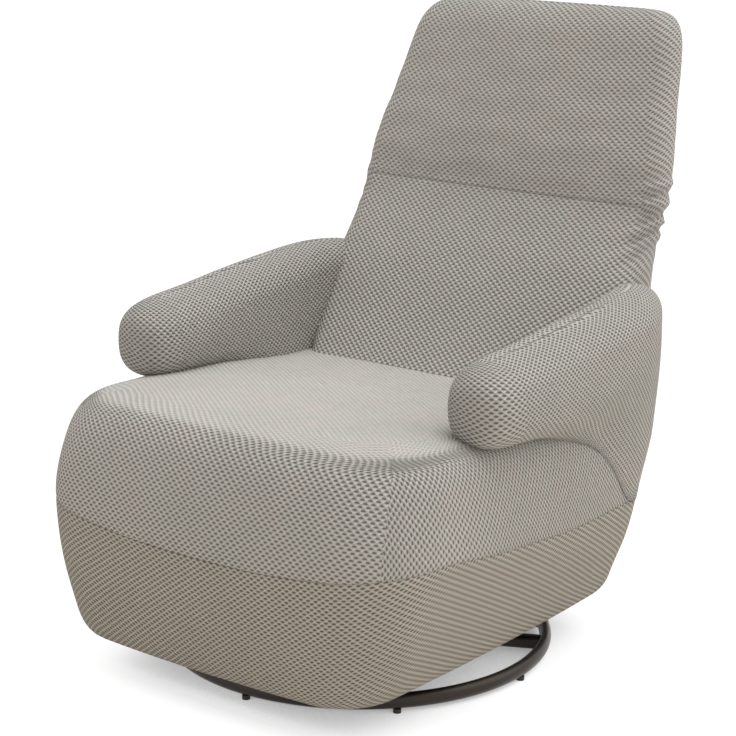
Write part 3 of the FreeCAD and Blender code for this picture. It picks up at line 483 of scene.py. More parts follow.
def cover_object(name, grid, weave, ends=(), opening_and_shade=1.0):
    """One object from a grid, with the knit's place stored at every face corner."""
    faces = grid_faces(grid)
    places = [weave.reshape(-1, 3)]
    for row in ends:
        faces.append(end_face(grid, row))
        flat = grid.reshape(-1, 3)[faces[-1], :2]
        places.append(np.column_stack((flat, np.full(len(flat), opening_and_shade))))
    mesh = bpy.data.meshes.new(name)
    mesh.from_pydata((grid + (0, AXIS_Y, 0)).reshape(-1, 3).tolist(), [], faces)
    stored = mesh.attributes.new("weave", "FLOAT_VECTOR", "CORNER")
    stored.data.foreach_set("vector", np.vstack(places).ravel())
    mesh.polygons.foreach_set("use_smooth", np.ones(len(faces), bool))
    mesh.update()
    return linked_object(name, mesh)


def settled(grid, share, cap):
    """The cover after its padding has pushed the fabric out, by cloth simulation.

    A point moves by its share of the swelling beyond the cover's mean, eased to the cap."""
    scene = bpy.context.scene
    mesh = bpy.data.meshes.new("settling")
    mesh.from_pydata(grid.reshape(-1, 3).tolist(), [], closed_faces(grid))
    cloth = linked_object("settling", mesh)
    even = cloth.modifiers.new("even", "REMESH")
    even.mode = "VOXEL"
    even.voxel_size = CLOTH_VOXEL
    graph = bpy.context.evaluated_depsgraph_get()
    cloth.data = bpy.data.meshes.new_from_object(cloth.evaluated_get(graph))
    cloth.modifiers.clear()
    start = mesh_points(cloth.data)
    swell = cloth.modifiers.new("swell", "CLOTH")
    swell.settings.use_pressure = True
    swell.settings.uniform_pressure_force = CLOTH_PRESSURE
    swell.settings.effector_weights.gravity = 0.0
    swell.point_cache.frame_start = 1
    swell.point_cache.frame_end = CLOTH_FRAMES
    for frame in range(1, CLOTH_FRAMES + 1):
        scene.frame_set(frame)
    graph = bpy.context.evaluated_depsgraph_get()
    shift = mesh_points(cloth.evaluated_get(graph).data) - start
    bpy.data.objects.remove(cloth)
    scene.frame_set(1)
    tree = KDTree(len(start))
    for number, place in enumerate(start):
        tree.insert(place, number)
    tree.balance()
    moved = np.empty(grid.shape)
    for row, column in np.ndindex(grid.shape[:2]):
        near = tree.find_n(grid[row, column], CLOTH_NEAREST)
        weight = np.array([1 / (distance + CLOTH_BLUR) for _, _, distance in near])
        moved[row, column] = weight @ shift[[item for _, item, _ in near]] / weight.sum()
    normal = outward(grid)
    swelling = (moved * normal).sum(-1)
    mean = (swelling * share).sum() / share.sum()
    spread = math.sqrt(((swelling - mean) ** 2 * share).sum() / share.sum())
    moved = cap * np.tanh((swelling - mean) / (2 * spread)) * share
    return grid + normal * moved[..., None]


def mesh_points(mesh):
    places = np.empty(len(mesh.vertices) * 3)
    mesh.vertices.foreach_get("co", places)
    return places.reshape(-1, 3)


def corner_places(across, along, opening_and_shade):
    """A knit place for each corner of each face, from one for each point.

    It holds distances across and along the rows, and the pits' relief and painted shade."""
    place = np.stack(np.broadcast_arrays(across, along, opening_and_shade), -1).astype(float)
    after = np.roll(place, -1, axis=1)
    return np.stack((place[:-1], after[:-1], after[1:], place[1:]), 2)


def girth_places(across, along, opening_and_shade):
    """The same where across is a distance round, with its join at the back."""
    places = corner_places(across, along, opening_and_shade)
    half = across.shape[1] // 2
    near = places[:, half, 0, 0]
    places[:, half, 1, 0] = near + np.abs(places[:, half, 1, 0] + near)
    places[:, half, 2, 0] = places[:, half, 1, 0]
    return places


def seam_distance(grid):
    """Distance up each column of the body at which its seam lies.

    The seam is level in front, rises at the front corners and falls along the sides."""
    turn = np.abs(np.arctan2(grid[0, :, 0], -grid[0, :, 1]))
    rise = bell(turn - SEAM_RISE_TURN, SEAM_RISE_SPREAD) * SEAM_RISE
    fall = eased(*SEAM_FALL_TURNS, turn) * SEAM_FALL
    columns = zip(SEAM_HEIGHT + rise - fall, grid[..., 2].T, along_rows(grid).T)
    return np.array([np.interp(*column) for column in columns])


def spaced(length, spacing, from_end=False):
    """Shares of a run from 0 to 1, finely spaced near its start or its end."""
    fine, coarse, near = spacing
    places = [0.0]
    while places[-1] < length:
        at = places[-1]
        away = length - at if from_end else at
        places.append(at + fine + (coarse - fine) * min(1.0, away / near))
    return np.array(places) / places[-1]


def set_in(grid, distance, depth, width):
    """Presses a grid inwards by depth where distance is zero, over a width."""
    return grid - outward(grid) * (bell(distance, width) * depth)[..., None]


def lip(grid, row):
    """Two more rows that turn a grid's first row, 0, or last, -1, horizontally inwards."""
    normal = outward(grid)[row] * (1, 1, 0)
    normal = normal / norm(normal, axis=1, keepdims=True)
    rows = np.array([grid[row] - normal * step for step in LIP_STEPS])
    return rows if row else rows[::-1]


def shrunk_rings(ring, middle, count, level, crown):
    """Rows that fill a ring towards its middle and rise by a crown above a level."""
    rows = []
    for share in np.linspace(0, 1, count + 2)[1:-1]:
        row = ring * (1 - share) + np.array(middle) * share
        row[:, 2] = level + crown * (1 - (1 - share) ** 2)
        rows.append(row)
    return np.array(rows)


# Materials


class Wire:
    """An output of a shader node. Sums on it add Math nodes."""

    def __init__(self, tree, socket=None):
        self.tree = tree
        self.socket = socket

    def node(self, kind, settings=None, inputs=None, output=0):
        """A new node of a type, with its settings first and then its sockets' values."""
        made = self.tree.nodes.new(kind)
        for name, value in (settings or {}).items():
            setattr(made, name, value)
        for name, value in (inputs or {}).items():
            if isinstance(value, Wire):
                self.tree.links.new(value.socket, made.inputs[name])
            else:
                made.inputs[name].default_value = value
        return Wire(self.tree, made.outputs[output] if made.outputs else None)

    def math(self, operation, *values):
        return self.node("ShaderNodeMath", {"operation": operation}, dict(enumerate(values)))

    def __add__(self, other):
        return self.math("ADD", self, other)

    __radd__ = __add__

    def __sub__(self, other):
        return self.math("SUBTRACT", self, other)

    def __rsub__(self, other):
        return self.math("SUBTRACT", other, self)

    def __mul__(self, other):
        return self.math("MULTIPLY", self, other)

    __rmul__ = __mul__

    def __truediv__(self, other):
        return self.math("DIVIDE", self, other)

    def cosine(self):
        return self.math("COSINE", self)

    def fraction(self):
        return self.math("FRACT", self)

    def step(self, low, high, start=0.0, end=1.0):
        """A soft rise from start at low to end at high."""
        values = {"Value": self, "From Min": low, "From Max": high, "To Min": start, "To Max": end}
        return self.node("ShaderNodeMapRange", {"interpolation_type": "SMOOTHSTEP"}, values)

    def plain(self, colour):
        """A colour that is the same all over, to be tinted."""
        made = self.node("ShaderNodeRGB")
        made.socket.default_value = (*colour, 1.0)
        return made

    def tint(self, colour, share):
        """This colour mixed with another by a share."""
        values = {0: share, 6: self, 7: (*colour, 1.0)}
        return self.node("ShaderNodeMix", {"data_type": "RGBA"}, values, 2)

    def part(self, number):
        """One number of this place."""
        return self.node("ShaderNodeSeparateXYZ", {}, {"Vector": self}, number)

    def noise(self, scale, detail=2.0, roughness=0.5, stretch=(1.0, 1.0, 1.0)):
        """Noise over this place."""
        settings = {"operation": "MULTIPLY"}
        spread = self.node("ShaderNodeVectorMath", settings, {0: self, 1: stretch})
        values = {"Vector": spread, "Scale": scale, "Detail": detail, "Roughness": roughness}
        return self.node("ShaderNodeTexNoise", {}, values)

    def bump(self, distance, strength):
        """Normals of a surface that stands out by this height."""
        values = {"Strength": strength, "Distance": distance, "Height": self}
        return self.node("ShaderNodeBump", {}, values)

    def finish(self, kind="ShaderNodeOutputMaterial"):
        """Makes this the surface of its material or world."""
        self.node(kind, {}, {"Surface": self})


def new_material(name):
    """A material with an empty tree, in place of the frame's plain one of that name."""
    plain = bpy.data.materials.get(name)
    if plain:
        bpy.data.materials.remove(plain)
    return empty_tree(bpy.data.materials.new(name))


def empty_tree(owner):
    owner.use_nodes = True
    owner.node_tree.nodes.clear()
    return Wire(owner.node_tree)


def standard_surface(wire, colour, roughness, normal, **rest):
    """Closes a material with the standard shader."""
    values = {"Base Color": colour, "Roughness": roughness, "Normal": normal}
    values |= {name.replace("_", " "): value for name, value in rest.items()}
    wire.node("ShaderNodeBsdfPrincipled", {}, values).finish()


def scaled(colour, *shares):
    """A colour times one share, or times one for each of its parts, at most 1."""
    return tuple(min(1.0, float(part)) for part in np.multiply(colour, shares))


def knit_material(name, knit, light, pit_shade):
    """Waffle knit: raised loops in brick order, with painted shade in the pits between them."""
    wire = new_material(name)
    place = wire.node("ShaderNodeAttribute", {"attribute_name": "weave"}, {}, 1)
    body = wire.node("ShaderNodeTexCoord", output=3)
    across = place.part(0) / knit.stitch_width
    along = place.part(1) / knit.stitch_height
    opening_and_shade = place.part(2)
    across = across + (body.noise(34.0) - 0.5) * KNIT_STRAY
    along = along + (body.noise(41.0) - 0.5) * KNIT_STRAY

    def lattice(shift):
        """Squared distance from the nearest stitch of one half of the brick order."""
        a = (across + (0.5 + shift)).fraction() - 0.5
        b = (along + (0.5 + shift)).fraction() - 0.5
        a = a / knit.pit_half_width
        b = b / knit.pit_half_height
        return a * a + b * b

    first = lattice(0.0)
    second = lattice(0.5)
    # Where the pits lie: pressed in by the bump, and darkened below with painted shade
    pit_and_shade_mask = first.math("MINIMUM", first, second).step(0.35, 1.55, 1.0, 0.0)
    pillow = 0.5 - (across * math.tau).cosine() * (along * math.tau).cosine() * 0.5
    yarn = body.noise(900.0, 2.0, 0.6, (1.0, 1.0, 1.6))
    height = (pillow * 0.85 - pit_and_shade_mask * 0.55) * (0.45 + opening_and_shade * 0.55) + yarn * 0.12
    normal = height.bump(knit.relief, 1.0)
    patches = body.noise(21.0, 3.0, 0.55)
    broad = body.noise(6.5)
    colour = wire.plain(light)
    colour = colour.tint(scaled(light, 1.045, 0.985, 0.975), patches.step(0.50, 0.68) * 0.8)
    colour = colour.tint(scaled(light, 0.955, 0.985, 0.965), patches.step(0.50, 0.32) * 0.8)
    colour = colour.tint(scaled(light, 0.90), broad.step(0.42, 0.62) * 0.35)
    # Painted shade: darker down the sides of each loop and in its pit, as strongly as the pits
    # show
    shade = pillow.step(0.15, 0.95)
    colour = colour.tint(scaled(light, 0.72), (1.0 - shade) * 0.60 * opening_and_shade)
    colour = colour.tint(pit_shade, pit_and_shade_mask * knit.pit_shade_strength * opening_and_shade)
    standard_surface(
        wire, colour, 0.95, normal,
        Specular_IOR_Level=0.12, Sheen_Weight=0.12, Sheen_Roughness=0.6,
    )


def metal_material(name, colour, roughness, metallic):
    """Metal, paint or plastic with fine grain, small stains and duller patches."""
    wire = new_material(name)
    body = wire.node("ShaderNodeTexCoord", output=3)
    grain = body.noise(260.0, 4.0, 0.6)
    stains = body.noise(16.0, 4.0, 0.6)
    base = wire.plain(colour).tint(scaled(colour, 0.78), stains.step(0.45, 0.70) * 0.7)
    rough = roughness + (stains - 0.5) * 0.22 + (grain - 0.5) * 0.10
    standard_surface(wire, base, rough, grain.bump(0.00008, 0.6), Metallic=metallic)


def wood_material(name, light, dark):
    """Plywood: pale face with long grain lines."""
    wire = new_material(name)
    body = wire.node("ShaderNodeTexCoord", output=3)
    lines = body.noise(46.0, 5.0, 0.65, (1.0, 0.10, 1.0))
    fine = body.noise(420.0, 3.0, 0.6, (1.0, 0.06, 1.0))
    base = wire.plain(light).tint(dark, lines.step(0.42, 0.66) * 0.8)
    base = base.tint(dark, fine.step(0.52, 0.70) * 0.4)
    normal = (fine + lines).bump(0.0002, 0.5)
    standard_surface(wire, base, 0.62 + lines * 0.15, normal)


def cloth_material(name, colour, pitch):
    """Flat woven cloth or strap: crossing threads at a pitch."""
    wire = new_material(name)
    body = wire.node("ShaderNodeTexCoord", output=3)
    turn = math.tau / pitch
    x, y, z = (body.part(number) for number in range(3))
    threads = (x * turn).cosine() * ((y + z) * turn).cosine()
    fuzz = body.noise(500.0, 3.0, 0.6)
    base = wire.plain(colour).tint(scaled(colour, 0.55), threads.step(-0.9, 0.9) * 0.7)
    base = base.tint(scaled(colour, 1.5), fuzz.step(0.5, 0.75) * 0.3)
    normal = (threads * 0.5 + fuzz * 0.4).bump(0.0004, 0.8)
    standard_surface(wire, base, 0.9, normal)


# Settings


def a_number(name, description, default, **limits):
    return FloatProperty(name=name, description=description, default=default, **limits)


def a_length(name, description, default, least=0.0):
    return a_number(name, description, default, min=least, unit="LENGTH")


def a_share(name, description, default, least=0.0):
    return a_number(name, description, default, min=least, max=1.0)


def an_angle(name, description, degrees):
    return a_number(name, description, math.radians(degrees), subtype="ANGLE")


def a_colour(name, description, default):
    return FloatVectorProperty(
        name=name, description=description, default=default,
        subtype="COLOR", size=3, min=0, max=1,
    )


class KnitSettings(bpy.types.PropertyGroup):
    """Sizes and colours of the knit cover."""

    stitch_width: a_length("Stitch width", "Distance between stitches in a row", 0.0124, 0.002)
    stitch_height: a_length("Stitch height", "Distance between two like rows", 0.0099, 0.002)
    relief: a_length("Relief", "How far the loops stand above the stitches", 0.0048)
    # The pits' size, which shapes both their relief and their painted shade, and that shade's
    # strength
    pit_half_width: a_share("Mark width", "Half the dark mark's width in stitches", 0.26, 0.05)
    pit_half_height: a_share("Mark height", "Half the dark mark's height in rows", 0.130, 0.05)
    pit_shade_strength: a_share("Mark strength", "How dark the stitch marks are", 0.66)
    cover_colour: a_colour("Cover", "Colour of the loops above the seam", (0.70, 0.668, 0.626))
    band_colour: a_colour("Lower band", "Colour of the loops below the seam", (0.67, 0.622, 0.54))
    # Colour of the painted shade down in the pits between the loops
    pit_shade_colour: a_colour("Marks", "Colour down between the loops", (0.125, 0.112, 0.095))


class CoverSettings(bpy.types.PropertyGroup):
    """Shapes of the covers that are sewn or pulled over the padding."""

    seam_depth: a_length("Seam depth", "How far the seam round the body sits in", 0.0016)
    seam_width: a_length("Seam width", "Where the padding starts to dip to it", 0.0030, 0.001)
    seat_crown: a_length("Seat crown", "Rise of the seat's middle above its edge", 0.004)
    seat_slope: a_length("Seat slope", "Rise at the seat's front, and fall at its rear", 0.018)
    neck_depth: a_length("Neck crease", "How far the crease below the head sits in", 0.0030)
    neck_width: a_length("Crease width", "How wide that crease is", 0.0014, 0.0005)
    gather_depth: a_length("Side folds", "Height of the folds beside the hinge", 0.0048)


class StudioSettings(bpy.types.PropertyGroup):
    """Camera and light."""

    turn: an_angle("Camera turn", "Angle round the chair from straight in front", 37.0)
    pitch: an_angle("Camera pitch", "Angle that the camera looks down", 14.3675)
    roll: an_angle("Camera roll", "Small turn about the line of sight", 0.628)
    focal_pixels: a_number("Focal length", "In pixels of the frame", 2100.0, min=100.0)
    frame_pixels: IntProperty(
        name="Frame", description="Width of the frame in pixels", default=736, min=16
    )
    world_strength: a_number("Room light", "Even light from all round", 0.50, min=0.0)
    sun_strength: a_number("Overhead light", "Soft light from above", 1.45, min=0.0)
    side_strength: a_number("Side light", "Soft light from behind on +X", 0.75, min=0.0)


def unfolded(grid):
    """The top lies flat, and its four sides are folded down from its edge."""
    run = along_rows(grid)
    wall = eased(0.10, 0.80, norm(outward(grid)[..., :2], axis=2))
    edge = len(grid) - np.argmax((wall.mean(1) > 0.02)[::-1])
    down = np.maximum(run[edge] - run, 0)
    x = grid[..., 0].copy()
    y = grid[..., 1].copy()
    x[:edge] = x[edge]
    y[:edge] = y[edge]
    around = along_columns(grid)
    middles = [sum(BODY_COLUMNS[:n]) + BODY_COLUMNS[n] // 2 for n in (1, 2, 3)]
    corner, side, rear_corner = middles
    columns = grid.shape[1]
    # Less painted shade and relief in the pits on the seat top, which light from above falls on
    opening_and_shade = TOP_OPENING_AND_SHADE + eased(0.0, 0.40, wall) * (FRONT_OPENING_AND_SHADE - TOP_OPENING_AND_SHADE)
    made = corner_places(x, y + down, opening_and_shade)
    sag = FRONT_SAG * around**2 * wall
    front = corner_places(
        x + wall * (around - x) + down * FRONT_LEAN * wall,
        y + wall * (y[edge].min() - y) - down / FRONT_STRETCH + sag,
        opening_and_shade,
    )
    made[:, :corner] = front[:, :corner]
    made[:, columns - corner :] = front[:, columns - corner :]
    for sign, middle, first, last in (
        (1, side, corner, rear_corner),
        (-1, columns - side, columns - rear_corner, columns - corner),
    ):
        round_y = sign * (around - around[:, middle : middle + 1])
        round_y = round_y + grid[:, middle : middle + 1, 1]
        round_y = (round_y - SIDE_START) * SIDE_PACKING + SIDE_START
        round_y -= (down - 0.05) * SIDE_LEAN * eased(-0.36, -0.12, grid[..., 1])
        flap = corner_places(
            x + wall * (sign * np.abs(x[edge]).max() - x) + sign * down,
            y + wall * (round_y - y),
            opening_and_shade,
        )
        made[:, first:last] = flap[:, first:last]
    return made


class ROCKER_OT_seat_cover(bpy.types.Operator):
    """Make the upper cover of the seat body"""

    bl_idname = "rocker.seat_cover"
    bl_label = "Seat cover"

    def execute(self, context):
        covers = context.scene.rocker_covers
        form = body_grid()
        seam = seam_distance(form)
        shares = spaced(WALL_RUN, SEAM_SPACING)
        places = seam + shares[:, None] * (along_rows(form)[-1] - seam)
        wall = resample_rows(form, places)
        top = shrunk_rings(wall[-1], SEAT_MIDDLE, SEAT_RINGS, SEAT_HEIGHT, covers.seat_crown)
        grid = np.concatenate((wall, top))
        x, y, z = np.moveaxis(grid, -1, 0)
        front = eased(*SLOPE_FRONT, y) * (1 - SLOPE_FAR_LOSS * eased(*SLOPE_FAR, x))
        slope = covers.seat_slope * (front - eased(*SLOPE_REAR, y))
        grid[..., 2] += slope * eased(*SLOPE_HEIGHTS, z)
        above = np.full(grid.shape[:2], math.inf)
        above[: len(wall)] = places - seam
        share = eased(0.08, -0.08, y) * eased(0.01, 0.07, above)
        grid = settled(grid, share, CLOTH_CAP_SEAT)
        grid = set_in(grid, above, covers.seam_depth, covers.seam_width)
        grid = np.concatenate((lip(grid, 0), grid))
        piece = cover_object("seat_cover", grid, unfolded(grid), (-1,), TOP_OPENING_AND_SHADE)
        finish_cover(piece, "rocker", "knit_cover", ("seat_cushion",))
        return {"FINISHED"}


class ROCKER_OT_band_cover(bpy.types.Operator):
    """Make the lower band that wraps under the seat body"""

    bl_idname = "rocker.band_cover"
    bl_label = "Lower band"

    def execute(self, context):
        covers = context.scene.rocker_covers
        form = body_grid()
        seam = seam_distance(form)
        places = spaced(WALL_RUN, SEAM_SPACING, True)[:, None] * seam
        grid = resample_rows(form, places)
        grid = set_in(grid, seam - places, covers.seam_depth, covers.seam_width)
        turned_in = [grid[0] * share + rise for share, rise in (BAND_HEM, BAND_UNDER)]
        grid = np.concatenate((turned_in, grid, lip(grid, -1)))
        around = np.repeat(along_columns(grid)[-3][None], len(grid), 0)
        beyond = np.abs(around)
        slant = np.where(beyond < BAND_BEND, beyond**2 / (2 * BAND_BEND), beyond - BAND_BEND / 2)
        along = along_rows(grid) * BAND_PACKING - slant * BAND_SLANT
        weave = girth_places(around / BAND_STRETCH, along, BAND_OPENING_AND_SHADE)
        piece = cover_object("band_cover", grid, weave)
        pads = ("lower_pad_front", "lower_pad_rear", "lower_pad_left", "lower_pad_right")
        finish_cover(piece, "rocker", "lower_band_cover", pads)
        return {"FINISHED"}


def folded(grid, covers):
    """Presses in the neck crease, and gathers the fabric at its two ends."""
    height = grid[..., 2]
    x = grid[..., 0]
    around = np.abs(along_columns(grid))
    corner = BACK_COLUMNS[0]
    rear = sum(BACK_COLUMNS[:4])
    column = np.arange(grid.shape[1])
    column = np.minimum(column, grid.shape[1] - column)
    front = eased(corner + 9, corner + 1, column)
    crease = bell(height - CREASE_HEIGHT, covers.neck_width) * front * covers.neck_depth
    roll = bell(height - CREASE_HEIGHT, 0.020) * front * 0.0008
    beside = eased(corner - 4, corner + 4, column)
    beside = beside * eased(rear + 7, rear - 2, column)
    beside = beside * (1 - 0.75 * eased(0.02, -0.02, x))
    edge = around - around[:, corner : corner + 1]
    gather = np.zeros(height.shape)
    for place, width, share, lean in SIDE_FOLDS:
        gather += share * bell(height - place - lean * np.minimum(edge, 0.05), width)
    wave = np.sin(x * 19 + height * 43) * np.sin(height * 61 - x * 11 + 0.6)
    wave += 0.6 * np.sin(x * 31 - height * 27 + 1.9) * np.sin(height * 97 + x * 7)
    soft = wave * eased(0.40, 0.24, around) * bell(height - 0.80, 0.17) * 0.0011
    depth = gather * beside * covers.gather_depth - crease - roll + soft
    return grid + outward(grid) * depth[..., None]


class ROCKER_OT_back_cover(bpy.types.Operator):
    """Make the cover of the back and head, with a crease and folds at the hinge"""

    bl_idname = "rocker.back_cover"
    bl_label = "Back cover"

    def execute(self, context):
        covers = context.scene.rocker_covers
        form = back_grid()
        run = along_rows(form)
        crease_run = np.interp(CREASE_HEIGHT, form[:, 0, 2], run[:, 0]) / run[-1, 0]
        lower = 1 - spaced(BACK_RUN, CREASE_SPACING)[::-1]
        upper = spaced(HEAD_RUN, CREASE_SPACING)[1:]
        shares = np.concatenate((lower * crease_run, crease_run + upper * (1 - crease_run)))
        grid = resample_rows(form, shares[:, None] * run[-1])
        height = grid[..., 2]
        share = eased(0.40, 0.46, height) * (1 - bell(height - CREASE_HEIGHT, 0.03))
        grid = settled(grid, share * eased(1.06, 0.94, height), CLOTH_CAP)
        grid = folded(grid, covers)
        top = shrunk_rings(grid[-1], grid[-1].mean(0), HEAD_RINGS, TOP_HEIGHT, HEAD_CROWN)
        grid = np.concatenate((grid, top))
        weave = girth_places(along_columns(grid), along_rows(grid)[:, :1], BACK_OPENING_AND_SHADE)
        piece = cover_object("back_cover", grid, weave, (-1,))
        nodes = ("back_cushion", "back_rear_pad", "headrest_cushion")
        finish_cover(piece, None, "knit_cover", nodes)
        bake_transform(piece)
        return {"FINISHED"}


class ROCKER_OT_arm_covers(bpy.types.Operator):
    """Make the covers of the two arms"""

    bl_idname = "rocker.arm_covers"
    bl_label = "Arm covers"

    def execute(self, context):
        form = arm_grid()
        shares = np.linspace(0, 1, ARM_ROWS)[:, None]
        grid = resample_rows(form, shares * along_rows(form)[-1])
        tip = grid[0].mean(0)
        rings = []
        for share in TIP_RINGS:
            ring = grid[0] * (1 - share) + tip * share
            ring[:, 1] -= TIP_CROWN * share
            rings.append(ring)
        grid = np.concatenate((np.array(rings), grid))[:, ::-1]
        # How far along the arm each row lies, and how far each column has run beyond the tip
        centres = grid.mean(1)
        steps = norm(np.diff(centres[:, :2], axis=0), axis=1)
        run = np.concatenate(([0.0], np.cumsum(steps)))[:, None] + 0 * grid[..., 0]
        steps = norm(np.diff(grid[..., :2], axis=0), axis=2)
        steps = steps * (run[1:] > ARM_HALF_WIDTH)
        travel = np.vstack((0 * run[:1], np.cumsum(steps, axis=0)))
        away = grid[..., :2] - centres[:, None, :2]
        sideways = np.hypot(away[..., 0], away[..., 1]) * np.sign(away[..., 0])
        share = eased(0.08, -0.06, grid[..., 1])
        grid = settled(grid[:, ::-1], share[:, ::-1], CLOTH_CAP)[:, ::-1]
        grid = flush_with_body(grid)
        for side, name in ((1, "left"), (-1, "right")):
            turned = grid * (side, 1, 1)
            offsets = (run, sideways * side, travel)
            if side < 0:
                turned = turned[:, ::-1]
                offsets = tuple(o[:, ::-1] for o in offsets)
            weave = wrapped_places(turned, offsets)
            piece = cover_object(f"arm_cover_{name}", turned, weave, (0, -1))
            finish_cover(piece, "rocker", "knit_cover", (f"arm_pad_{name}",))
        return {"FINISHED"}


def wrapped_places(grid, offsets):
    """The knit spreads evenly from the tip's corner, and is joined low on the far side."""
    run, sideways, travel = offsets
    rise = grid[..., 2] - ARM_TIP_HEIGHT
    near = pulled_places(run, sideways, rise, travel)
    far = pulled_places(run, -sideways, rise, travel)
    middle = len(grid) // 2
    turn = np.arctan2(rise[middle], sideways[middle])
    low = (np.abs(turn) > math.radians(112)) & (rise[middle] < 0.93 * rise[middle].max())
    rows = run.mean(1) > 0.5 * ARM_HALF_WIDTH
    swap = rows[:-1, None] & low[None]
    return np.where(swap[..., None, None], far, near)


def pulled_places(run, sideways, rise, travel):
    """Knit places for a cover pulled evenly over a rounded end, from its corner outwards."""
    radius = ARM_HALF_WIDTH
    edge = radius * ARM_EDGE_SHARE
    turn = np.arctan2(np.maximum(radius - run, 0), sideways) - math.radians(45)
    inset = radius - np.hypot(sideways, np.maximum(radius - run, 0))
    inset = np.maximum(inset, 0)
    high, low = (row_extreme(rise, run, pick) for pick in (np.max, np.min))
    flat = np.where(rise > 0, high, -low) - edge
    over = np.abs(rise) - flat
    bend = np.arctan2(over, np.maximum(edge - inset, 0))
    girth = flat + edge * bend + np.maximum(inset - edge, 0)
    girth = np.where(over > 0, girth, np.abs(rise))
    half = flat + edge * math.pi / 2 + radius - edge
    foot = np.where(rise < 0, girth, 0).max(1, keepdims=True)
    half = np.where((run > radius) & (rise < 0), foot, half)
    lift = math.pi / 2 * np.minimum(girth / half, 1) * np.sign(rise)
    angle = np.arccos(np.clip(np.cos(lift) * np.cos(turn), -0.98, 1))
    spread = angle / np.maximum(np.sin(angle), 1e-4)
    across = travel * ARM_PACKING - radius * spread * np.cos(lift) * np.sin(turn)
    along = half * 2 / math.pi * spread * np.sin(lift)
    return corner_places(across, along, ARM_OPENING_AND_SHADE)


def row_extreme(rise, run, pick):
    """The highest or lowest rise of each row, or of the first full row for those before it."""
    rows = pick(rise, axis=1)
    first = np.searchsorted(run.mean(1), 0.1 * ARM_LENGTH)
    rows[:first] = rows[first]
    return rows[:, None]


def flush_with_body(grid):
    """Lays the arm's lower rear flap just outside the body's side."""
    form = body_grid(160)
    level = form[:, 0, 2]
    turn = np.arctan2(form[..., 1], form[..., 0])
    radius = np.hypot(form[..., 0], form[..., 1])
    made = grid.copy()
    for row, column in np.ndindex(grid.shape[:2]):
        x, y, z = grid[row, column]
        late = eased(0.14, 0.28, y)
        start, end = (place + late * shift for place, shift in (FLAP_START, FLAP_END))
        share = eased(start, end, z) * eased(-0.02, 0.09, y)
        near = np.searchsorted(level, min(z, FLAP_LEVEL))
        order = np.argsort(turn[near])
        reach = np.interp(math.atan2(y, x), turn[near][order], radius[near][order])
        here = math.hypot(x, y)
        if share > 0 and here >= reach - FLAP_INSIDE:
            made[row, column, :2] *= 1 + share * ((reach + FLAP_GAP) / here - 1)
    return made


def finish_cover(piece, body, slot, nodes):
    """Gives a cover its material and the body that it rides on, and hides the pieces that it
    replaces.
    """
    piece.data.materials.append(bpy.data.materials[slot])
    if body:
        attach(piece, body)
    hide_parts(*nodes)


def coil_grid(x, y):
    """Points of one round wire wound on a cylinder, a row round the wire at each step."""
    low, high = SPRING_ENDS
    turn = np.linspace(0, SPRING_TURNS * math.tau, SPRING_TURNS * SPRING_STEPS + 1)[:, None]
    sides = np.linspace(0, math.tau, SPRING_SIDES, endpoint=False)[None]
    reach = SPRING_RADIUS + SPRING_WIRE / 2 * np.cos(sides)
    level = low + (high - low) * turn / turn[-1]
    return np.stack((
        x + reach * np.cos(turn),
        y + reach * np.sin(turn),
        level + SPRING_WIRE / 2 * np.sin(sides),
    ), -1)


class ROCKER_OT_rocker_springs(bpy.types.Operator):
    """Make the four coil springs, fixed at rest, though the real ones shorten as the chair rocks
    """

    bl_idname = "rocker.rocker_springs"
    bl_label = "Rocker springs"

    def execute(self, context):
        for name, side in (("front", -1), ("rear", 1)):
            y = AXIS_Y + side * SPRING_SPREAD[1]
            points, faces = [], []
            for x in (-SPRING_SPREAD[0], SPRING_SPREAD[0]):
                grid = coil_grid(x, y)
                faces += [[len(points) + i for i in face[::-1]] for face in closed_faces(grid)]
                points += grid.reshape(-1, 3).tolist()
            mesh = bpy.data.meshes.new(f"coils_{name}")
            mesh.from_pydata(points, [], faces)
            mesh.polygons.foreach_set("use_smooth", [len(face) == 4 for face in faces])
            mesh.update()
            mesh.materials.append(bpy.data.materials["spring_steel"])
            piece = linked_object(f"coils_{name}", mesh)
            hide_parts(f"rock_springs_{name}")
            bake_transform(piece)
        return {"FINISHED"}


